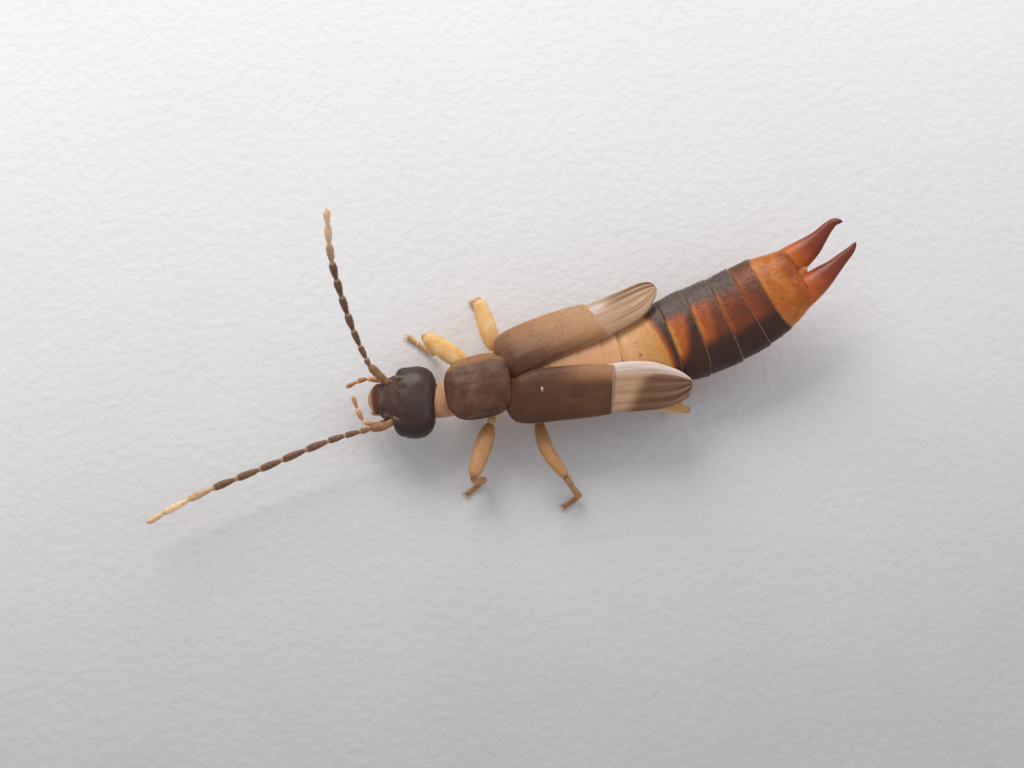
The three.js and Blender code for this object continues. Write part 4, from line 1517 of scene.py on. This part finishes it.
def abdomen_ring(plan):
    """One ring and its marks: a tube that is sunk at its front, rolled in at its rear and
    grooved along both sides. Its edges bow forward or back over the middle of the back."""
    first, last = plan["from"] - TUCK, plan["to"]
    places = first + (last - first) * np.linspace(0, 1, RING_ROWS)
    sizes = [(place, *read_table(ABDOMEN_SIZES, place)) for place in places]
    is_last = plan is RINGS[-1]
    ends = (0, 0.07 if is_last else 0)
    grid = {"rows": RING_ROWS, "sides": RING_SIDES}
    points = tube(ABDOMEN_LINE, sizes, power=RING_POWER, ends=ends, **grid)
    place = (first + (last - first) * crowd_ends(RING_ROWS))[:, None]
    angle = ring_angles(RING_SIDES)[None]
    across, height = bowed(np.cos(angle), RING_POWER), np.sin(angle)
    step = 0.4 + plan["rim"]
    depth = -FRONT_DEPTH * step * (1 - rise(place, first, first + 0.085))
    depth = depth + 0.009 * step * rise(place, first + 0.09, last - 0.02)
    depth = depth - EDGE_DEPTH * rise(place, last - EDGE_DEPTH, last)
    low = 1 - rise(height, -0.36, -0.3)
    slope = np.abs(np.arctan2(height, np.abs(np.cos(angle))))
    groove = hill(slope - SIDE_GROOVE, 0.07) * (height < 0)
    depth = depth - GROOVE_DEPTH * groove - 0.006 * low
    points = push(points, np.broadcast_to(depth, points.shape[:2]))
    middles = bend_through(ABDOMEN_LINE, place[:, 0] / length_of(ABDOMEN_LINE))
    side, up = axes_along(middles)
    shift = read_table(EDGE_BOW, place[:, 0])[0][:, None] * rise(height, 0, 0.9)
    points = points + np.cross(side, up)[:, None] * shift[..., None]
    if is_last:
        rump = rise(place, 2.1, 2.25)
        bump = 0.0
        for spot in FORCEPS_BUMPS:
            bump = bump + BUMP_HEIGHT * hill(np.linalg.norm(points - spot, axis=2), 0.13)
        hollow = hill(np.abs(across) / 0.4, 1) * rise(place, 2.2, 2.36) * (height > 0)
        points = push(points, (bump - HOLLOW_DEPTH * hollow) * rump)
    tone, dark = ring_tone(plan, across, place)
    belly = 1 - rise(height, -0.45, -0.3)
    tone = tone + (BELLY_TONE + 0.16 * hill(np.abs(across) - 0.8, 0.25) - tone) * belly
    if is_last:
        tone = tone + 0.1 * rise(place, 2.3, 2.4) * rise(height, -0.2, 0.2)
    marks = {
        "tone": tone,
        # painted sheen of the sky on the dark right side of the back
        "grey": dark * rise(across, 0.3, 0.8) * (1 - belly),
        "rim": plan["rim"] * rise(place, last - 0.02, last - 0.013),
        "pale": (1 - rise(place, 0.05, 0.6)) * (1 - belly),
        "dot": hill(np.hypot(points[..., 0] - DOT[0], points[..., 1] - DOT[1]), 0.016) * (height > 0),
    }
    return points, marks


rings = [abdomen_ring(plan) for plan in RINGS]
build("abdomen_front", rings[:1], ring_finish, ["abdomen_base"], 50)
for number, ring in zip((4, 5, 6, 7), rings[1:5]):
    build(f"abdomen_ring_{number}", [ring], ring_finish, [f"abdomen_{number}"], 50)
build("abdomen_last_ring", rings[5:], ring_finish, ["abdomen_last"])

# %% [markdown]
# ## Forceps
#
# The forceps are horn: broad and orange at the base, then red-brown, and a little darker at
# the points, which hook towards each other. A row of tiny teeth runs along the inner edge
# near the base. Between them sits the small last plate of the back.

# %% Finish of the forceps
horn_finish = chitin("forceps_horn_shell", glow=0.25, depth=0.06, coat=0.12)
along = horn_finish.mark("along")
grain = horn_finish.noise(7, detail=4, stretch=(2, 1, 1))
tone = along + 0.25 * (grain - 0.5)
horn_colour = tone.ramp(
    (0.0, tint("c86f1e")),
    (0.28, tint("b85a1c")),
    (0.45, tint("8c3c20")),
    (0.72, tint("7c3523")),
    (0.93, tint("7c3523")),
    (1.0, tint("5a2419")),
)
horn_finish.paint(
    colour=horn_finish.blend(horn_finish.mark("edge") * 0.5, horn_colour, tint("5a2a20")),
    roughness=0.27 + 0.14 * grain,
    relief=horn_finish.noise(80, detail=3) + grain,
    depth=0.0025,
)
print("forceps finish")

# %% Forceps
FORCEPS_LINES = {
    "right": [
        (3.82, 0.9, 0.85),
        (4.07, 1.02, 0.915),
        (4.171, 1.074, 0.95),
        (4.28, 1.145, 1.0),
        (4.409, 1.248, 1.06),
        (4.489, 1.286, 1.1),
        (4.579, 1.269, 1.14),
    ],
    "left": [
        (3.88, 0.475, 0.84),
        (4.16, 0.612, 0.935),
        (4.338, 0.72, 0.99),
        (4.489, 0.825, 1.05),
        (4.621, 0.917, 1.11),
        (4.683, 0.987, 1.15),
    ],
}
FORCEPS_SIZES = [
    (0, 0.19, 0.12, 0.11),
    (0.15, 0.182, 0.12, 0.108),
    (0.28, 0.165, 0.118, 0.105),
    (0.45, 0.132, 0.09, 0.085),
    (0.6, 0.098, 0.07, 0.066),
    (0.78, 0.067, 0.052, 0.05),
    (0.9, 0.046, 0.036, 0.034),
    (0.97, 0.024, 0.02, 0.018),
    (1.0, 0.006, 0.006, 0.006),
]
TOOTH_PITCH = 0.035
TOOTH_HEIGHT = 0.006
INNER_EDGE = 0.01
ARM_ROWS = 160
ARM_SIDES = 72
for side, line in FORCEPS_LINES.items():
    length = length_of(line)
    sizes = [(share * length, *radii) for share, *radii in FORCEPS_SIZES]
    arm = tube(line, sizes, rows=ARM_ROWS, sides=ARM_SIDES, power=2.15, ends=(0, 0.012))
    along = crowd_ends(ARM_ROWS)[:, None]
    inner = math.pi if side == "right" else 0.0
    turn = ring_angles(ARM_SIDES)[None] - inner
    edge = hill(np.abs(np.sin(turn / 2)), 0.17) * np.ones_like(along)
    teeth = np.clip(np.sin(2 * np.pi * along * length / TOOTH_PITCH), 0, 1)
    teeth = teeth * (1 - rise(along, 0.5, 0.6))
    arm = push(arm, edge * (TOOTH_HEIGHT * teeth + INNER_EDGE * (1 - rise(along, 0.45, 0.7))))
    arm = (arm, {"along": along, "edge": edge})
    build(f"forceps_arm_{side}", [arm], horn_finish, [f"forceps_{side}"])

# %% The last plate
plate_finish = chitin("last_plate", roughness=0.2, glow=0.3, depth=0.05, coat=0.6)
plate_finish.paint(
    colour=plate_finish.noise(14).ramp((0.3, tint("b8692c")), (0.7, tint("d99a5c"))),
    relief=plate_finish.noise(60),
    depth=0.002,
)
PYGIDIUM_LINE = [(3.95, 0.76, 0.89), (4.15, 0.85, 0.95)]
PYGIDIUM_SIZES = [
    (0, 0.075, 0.04, 0.05),
    (0.08, 0.07, 0.036, 0.046),
    (0.13, 0.05, 0.03, 0.036),
    (0.165, 0.026, 0.018, 0.02),
]
pygidium = tube(PYGIDIUM_LINE, PYGIDIUM_SIZES, rows=50, sides=48, power=2.4, ends=(0.02, 0.03))
build("pygidium_plate", [(pygidium, {})], plate_finish, ["pygidium"])

# %% [markdown]
# ## Legs
#
# A leg is hip, a small knob, the broad flat thigh, the shin and a foot of three joints with
# two claws. Each part is a tube between two of four places: hip, knee, ankle and toe. Knee,
# ankle and toe are where the frame's own leg has them, so every foot stands where its solid
# stands. The thigh starts at the root, a share of the way from hip to knee.

# %% Finish of the legs
leg_finish = chitin("leg_shell_amber", glow=0.45, depth=0.08, coat=0.05)
along = leg_finish.mark("along")
cloud = leg_finish.noise(8, detail=4)
lengthwise = leg_finish.node("CombineXYZ", {0: along, 1: leg_finish.mark("turn") * 5})
fibre = leg_finish.noise(1, detail=4, pattern=lengthwise)
tone = 0.55 * cloud + 0.45 * fibre
amber = tone.ramp((0.3, tint("e9ad62")), (0.5, tint("f7cb88")), (0.72, tint("ffe1b0")))
# Painted shade: the legs that lie in shade are painted towards a darker amber.
dim = leg_finish.mark("dim")
leg_colour = leg_finish.blend(dim, amber, tint("a57145"))
leg_colour = leg_finish.blend(leg_finish.mark("joint"), leg_colour, tint("8e5c38"))
leg_finish.paint(
    colour=leg_colour,
    roughness=0.35 + 0.15 * cloud,
    relief=leg_finish.noise(70, detail=3) + fibre,
    depth=0.003,
)
print("leg finish")

# %% Places and outlines of the legs
# Each leg's painted shade is how much darker its colour is painted, since the left legs and the hind
# legs lie in shade.
LEGS = {
    "left_fore": {
        "thigh": 0.107, "root": 0.2, "dim": 0.76, "bend": (0, 0, 0),
        "places": [(0.2, -0.16, 0.36), (-0.21, -1.05, 0.5), (-0.08, -1.01, 0.1), (-0.31, -1.14, 0.034)],
    },
    "left_mid": {
        "thigh": 0.085, "root": 0.2, "dim": 0.82, "bend": (-0.065, 0, 0),
        "places": [(0.58, -0.16, 0.36), (0.88, -1.2, 0.5), (1.02, -1.37, 0.1), (0.83, -1.46, 0.034)],
    },
    "left_hind": {
        "thigh": 0.085, "root": 0.15, "dim": 0.4, "bend": (0, 0, 0),
        "places": [(1.3, -0.16, 0.36), (2.45, -0.59, 0.46), (2.3, -0.44, 0.1), (2.53, -0.3, 0.034)],
    },
    "right_fore": {
        "thigh": 0.12, "root": 0.12, "dim": 0.0, "bend": (0, 0, 0),
        "places": [(0.04, 0.25, 0.36), (-0.55, 0.77, 0.5), (-0.46, 0.64, 0.1), (-0.75, 0.92, 0.034)],
    },
    "right_mid": {
        "thigh": 0.11, "root": 0.2, "dim": 0.0, "bend": (0, 0, 0),
        "places": [(0.31, 0.25, 0.36), (0.16, 1.12, 0.55), (0.19, 0.98, 0.1), (0.09, 1.26, 0.034)],
    },
    "right_hind": {
        "thigh": 0.085, "root": 0.15, "dim": 0.3, "bend": (0, 0, 0),
        "places": [(1.36, 0.3, 0.36), (2.12, 0.88, 0.46), (2.05, 0.84, 0.1), (2.24, 0.95, 0.034)],
    },
}
HIP = [(0, 1), (0.5, 0.97), (0.8, 0.84), (1, 0.7)]
HIP_RADIUS = 0.08
KNOB = [(0, 0.8), (0.4, 1), (1, 0.7)]
KNOB_RADIUS = 0.052
THIGH = [
    (0, 0.42), (0.06, 0.64), (0.15, 0.84), (0.3, 0.98), (0.45, 1), (0.65, 0.93), (0.82, 0.8),
    (0.94, 0.66), (1, 0.56),
]
THIGH_FLATNESS = 0.72
SHIN = [(0, 0.75), (0.06, 1), (0.2, 0.92), (0.5, 0.82), (0.8, 0.95), (0.94, 1.08), (1, 0.85)]
SHIN_RADIUS = 0.043
FOOT = [
    (0, 0.75), (0.3, 0.95), (0.44, 1.05), (0.47, 0.7), (0.5, 0.72), (0.6, 1.0), (0.65, 0.72),
    (0.68, 0.65), (0.8, 0.85), (0.95, 1), (1, 0.7),
]
FOOT_RADIUS = 0.031
SOLE_HEIGHT = 0.044
LIMB_POWER = 2.1
KNOB_SHARE = 0.07
CLAW = [(0, 1), (0.5, 0.7), (1, 0.15)]
CLAW_RADIUS = 0.0115
CLAW_LENGTH = 0.062
CLAW_DROP = 0.028
print(len(LEGS), "legs are planned")


# %% Shape a limb
def limb(
    line, outline, radius, flatness=1.0, rows=60, sides=48, ends=(0.02, 0.02), dim=0.0, joint=(0, 0)
):
    """A tube of the outline's shape along a line, and its marks: a painted shade over all of it, for a
    leg that lies in shade, and joint, the darkness of its first and of its last tenth."""
    length = length_of(line)
    sizes = []
    for share, size in outline:
        half_width = size * radius
        sizes.append((share * length, half_width, half_width * flatness, half_width * flatness))
    points = tube(line, sizes, rows=rows, sides=sides, power=LIMB_POWER, ends=ends)
    along = crowd_ends(rows)[:, None]
    dark = joint[0] * (1 - rise(along, 0, 0.1)) + joint[1] * rise(along, 0.9, 1)
    turn = np.abs(ring_angles(sides)[None] - math.pi) / math.pi
    return points, {"along": along, "turn": turn, "dim": dim, "joint": dark}


def claws(ankle, toe, dim):
    """Two thin hooks that part at the end of the foot and bend down to the floor."""
    ahead = np.array(toe) - ankle
    ahead[2] = 0
    ahead /= np.linalg.norm(ahead)
    side = np.array([-ahead[1], ahead[0], 0])
    hooks = []
    for sign in (1, -1):
        root = toe - ahead * 0.015 + side * sign * 0.012
        middle = root + (ahead + side * sign * 0.55) * CLAW_LENGTH * 0.55 + (0, 0, 0.008)
        tip = root + (ahead + side * sign * 0.35) * CLAW_LENGTH + (0, 0, -CLAW_DROP)
        hook = limb(
            [root, middle, tip], CLAW, CLAW_RADIUS,
            rows=20, sides=14, ends=(0.003, 0.002), dim=dim, joint=(0.6, 1),
        )
        hooks.append(hook)
    return hooks


print("limbs and claws can be shaped")

# %% Legs
leg_beds = []
for name, plan in LEGS.items():
    hip, knee, ankle, toe = (np.array(place) for place in plan["places"])
    root = hip + (knee - hip) * plan["root"]
    knob = root + (knee - hip) * KNOB_SHARE + (0, 0, -0.005)
    knob_line = [root - (knob - root) * 0.4, knob + (knob - root) * 0.5]
    thigh_line = [knob, (knob + knee) / 2 + plan["bend"], knee]
    shin_middle = (knee + ankle) / 2 + (knee - hip) * (0.03, 0.03, 0)
    shin_line = [knee + (0, 0, -0.01), shin_middle, ankle]
    sole = (ankle + toe) / 2
    sole[2] = SOLE_HEIGHT
    dim = plan["dim"]
    hip_part = limb([hip, root], HIP, HIP_RADIUS, ends=(0.02, 0.05), dim=dim * 0.3)
    knob_part = limb(knob_line, KNOB, KNOB_RADIUS, dim=dim * 0.5, joint=(0.5, 0.5))
    thigh = limb(
        thigh_line, THIGH, plan["thigh"], THIGH_FLATNESS,
        rows=110, sides=72, ends=(0.03, 0.06), dim=dim, joint=(0.05, 0.3),
    )
    shin = limb(shin_line, SHIN, SHIN_RADIUS, rows=80, dim=dim, joint=(0.6, 0.5))
    foot = limb(
        [ankle, sole, toe], FOOT, FOOT_RADIUS,
        rows=90, sides=40, ends=(0.02, 0.015), dim=0.5 + 0.5 * dim, joint=(0.6, 0.9),
    )
    parts = [hip_part, knob_part, thigh, shin, foot, *claws(ankle, toe, dim)]
    nodes = [f"leg_{name}_{part}" for part in ("femur", "tibia", "tarsus")]
    build(f"leg_{name}", parts, leg_finish, nodes)
    leg_beds += [thigh, shin, foot]

# %% [markdown]
# ## Hairs
#
# An earwig is covered with short fine hairs that point to the rear or to the tip of a limb.
# A hair is a bent spike of seven points. Its root is a random place on the grid of a part,
# so there are as many on a square millimetre everywhere. The map OFBake gives each hair a
# small patch at its root's place, where the grid of every part has a square of its own.

# %% Roots and spikes
rng = np.random.default_rng(7)
HAIR_POINTS = 7
HAIR_RADIUS = 0.0016
PATCH = 0.0015
TRIANGLE = 2 * np.pi * np.arange(3) / 3
SPIKE_FACES = np.array(
    [(2, 1, 0)]
    + [(k, (k + 1) % 3, 3 + (k + 1) % 3) for k in range(3)]
    + [(k, 3 + (k + 1) % 3, 3 + k) for k in range(3)]
    + [(3 + k, 3 + (k + 1) % 3, 6) for k in range(3)]
)


def unit(vectors):
    """Vectors brought to a length of one."""
    return vectors / np.maximum(np.linalg.norm(vectors, axis=-1, keepdims=True), 1e-9)


def roots(points, weight, count):
    """Random places on a grid, in proportion to area times weight. Returns the rows and sides,
    the places, the normals, the directions along the rows, and two shares of the grid."""
    rows, sides = points.shape[:2]
    after = np.roll(points, -1, 1)
    area = np.linalg.norm(np.cross(after[1:] - points[:-1], points[1:] - after[:-1]), axis=2)
    chance = (area * np.broadcast_to(weight, (rows, sides))[:-1]).ravel()
    row, side = np.divmod(rng.choice(chance.size, count, p=chance / chance.sum()), sides)
    i, j = rng.random((2, count, 1))
    near = points[row, side] * (1 - j) + after[row, side] * j
    far = points[row + 1, side] * (1 - j) + after[row + 1, side] * j
    along = unit(far - near)
    normal = unit(np.cross(after[row, side] - points[row, side], along))
    spot = np.stack([(row + i[:, 0]) / rows, (side + j[:, 0]) / sides], 1)
    return row, side, near * (1 - i) + far * i, normal, along, spot


def spikes(root, normal, along, length, lift):
    """Seven points for each hair: three at the root, three at half its length, and the tip."""
    count = len(root)
    reach = length * rng.uniform(0.55, 1.25, (count, 1))
    raised = lift * rng.uniform(0.5, 1.5, (count, 1))
    swing = np.cross(normal, along) * rng.normal(0, 0.28, (count, 1))
    ahead = unit(along * np.cos(raised) + normal * np.sin(raised) + swing)
    side = unit(np.cross(normal, ahead))
    up = np.cross(ahead, side)
    ring = side[:, None] * np.cos(TRIANGLE)[:, None] + up[:, None] * np.sin(TRIANGLE)[:, None]
    ring = ring * HAIR_RADIUS
    low = (root - normal * 0.002)[:, None] + ring
    middle = (root + (ahead * 0.5 + normal * 0.05) * reach)[:, None] + ring * 0.75
    tip = (root + (ahead - normal * 0.06) * reach)[:, None]
    points = np.concatenate([low, middle, tip], 1)
    points[..., 2] = np.maximum(points[..., 2], HAIR_RADIUS)
    return points


print("a hair has", len(SPIKE_FACES), "triangles")


# %% Gather hairs in a coat
def coat(name, beds, length, lift, finish, slot, lie=None):
    """One mesh of hairs. A bed is a grid of points, its marks, the weight of each point, and a
    number of hairs. They lie along the rows, or towards the direction lie. A hair carries the
    marks of its root, so it has the colour of the shell there."""
    squares = math.ceil(math.sqrt(len(beds)))
    patch = np.stack([np.cos(TRIANGLE), np.sin(TRIANGLE)], 1) * PATCH
    patch = np.concatenate([patch, patch * 0.5, np.zeros((1, 2))])
    places, map_places, marks = [], [], {}
    for number, (points, values, weight, count) in enumerate(beds):
        row, side, root, normal, along, spot = roots(points, weight, count)
        if lie:
            along = unit(lie - normal * (normal @ np.array(lie))[:, None])
        places.append(spikes(root, normal, along, length, lift))
        corner = np.array([number % squares, number // squares])
        map_places.append(((corner + 0.04 + 0.92 * spot) / squares)[:, None] + patch)
        for key, value in values.items():
            here = np.broadcast_to(value, points.shape[:2])[row, side]
            marks.setdefault(key, []).append(np.repeat(here, HAIR_POINTS))
    places = np.concatenate(places)
    map_places = np.concatenate(map_places)
    first_points = HAIR_POINTS * np.arange(len(places))
    faces = (SPIKE_FACES + first_points[:, None, None]).reshape(-1, 3)
    piece = finished(name, places.reshape(-1, 3), faces.tolist(), marks, finish)
    layer = piece.data.uv_layers.new(name="OFBake")
    layer.data.foreach_set("uv", map_places.reshape(-1, 2)[faces.ravel()].ravel())


print("coats can be laid")

# %% Coats
open_part = rise(np.linspace(0, 1, RING_ROWS), 0.22, 0.3)[:, None]
RING_HAIRS = (700, 600, 800, 800, 700, 800)
CASE_HAIRS = 900
LEG_HAIRS = {"thigh": 220, "shin": 160, "foot": 130}
FEELER_HAIRS = {"scape": 90, "whip": 900}
HEAD_HAIRS = 500
SHIELD_HAIRS = 500
ring_beds = [(*ring, open_part, count) for ring, count in zip(rings, RING_HAIRS)]
coat("abdomen_hairs", ring_beds, 0.04, 0.3, ring_finish, "abdomen_shell")
wing_beds = [(*bed, CASE_HAIRS) for bed in case_beds]
coat("wing_case_hairs", wing_beds, 0.024, 0.3, case_finish, "wing_case")
leg_counts = tuple(LEG_HAIRS.values()) * len(LEGS)
limb_beds = [(*bed, 1.0, count) for bed, count in zip(leg_beds, leg_counts)]
coat("leg_hairs", limb_beds, 0.034, 0.45, leg_finish, "leg_shell")
feeler_counts = tuple(FEELER_HAIRS.values()) * len(FEELERS)
whip_beds = [(*bed, 1.0, count) for bed, count in zip(feeler_beds, feeler_counts)]
coat("feeler_hairs", whip_beds, 0.022, 0.5, feeler_finish, "feeler_shell")
skull_bed = (skull_points, skull_marks, 1.0, HEAD_HAIRS)
coat("head_hairs", [skull_bed], 0.02, 0.35, head_finish, "head_shell")
shield_bed = (shield, shield_marks, 1.0, SHIELD_HAIRS)
coat("shield_hairs", [shield_bed], 0.022, 0.3, shield_finish, "pronotum_shell", lie=(1, 0, 0))

# %% [markdown]
# ## Sizes
#
# The box of the finished model is printed beside the box of the fixed frame, so that the two
# can be compared.

# %% Sizes
sizes = {"cad": [list(v) for v in cad_box], "visual": [list(v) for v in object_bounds()]}
print("boxes in metres:", sizes)
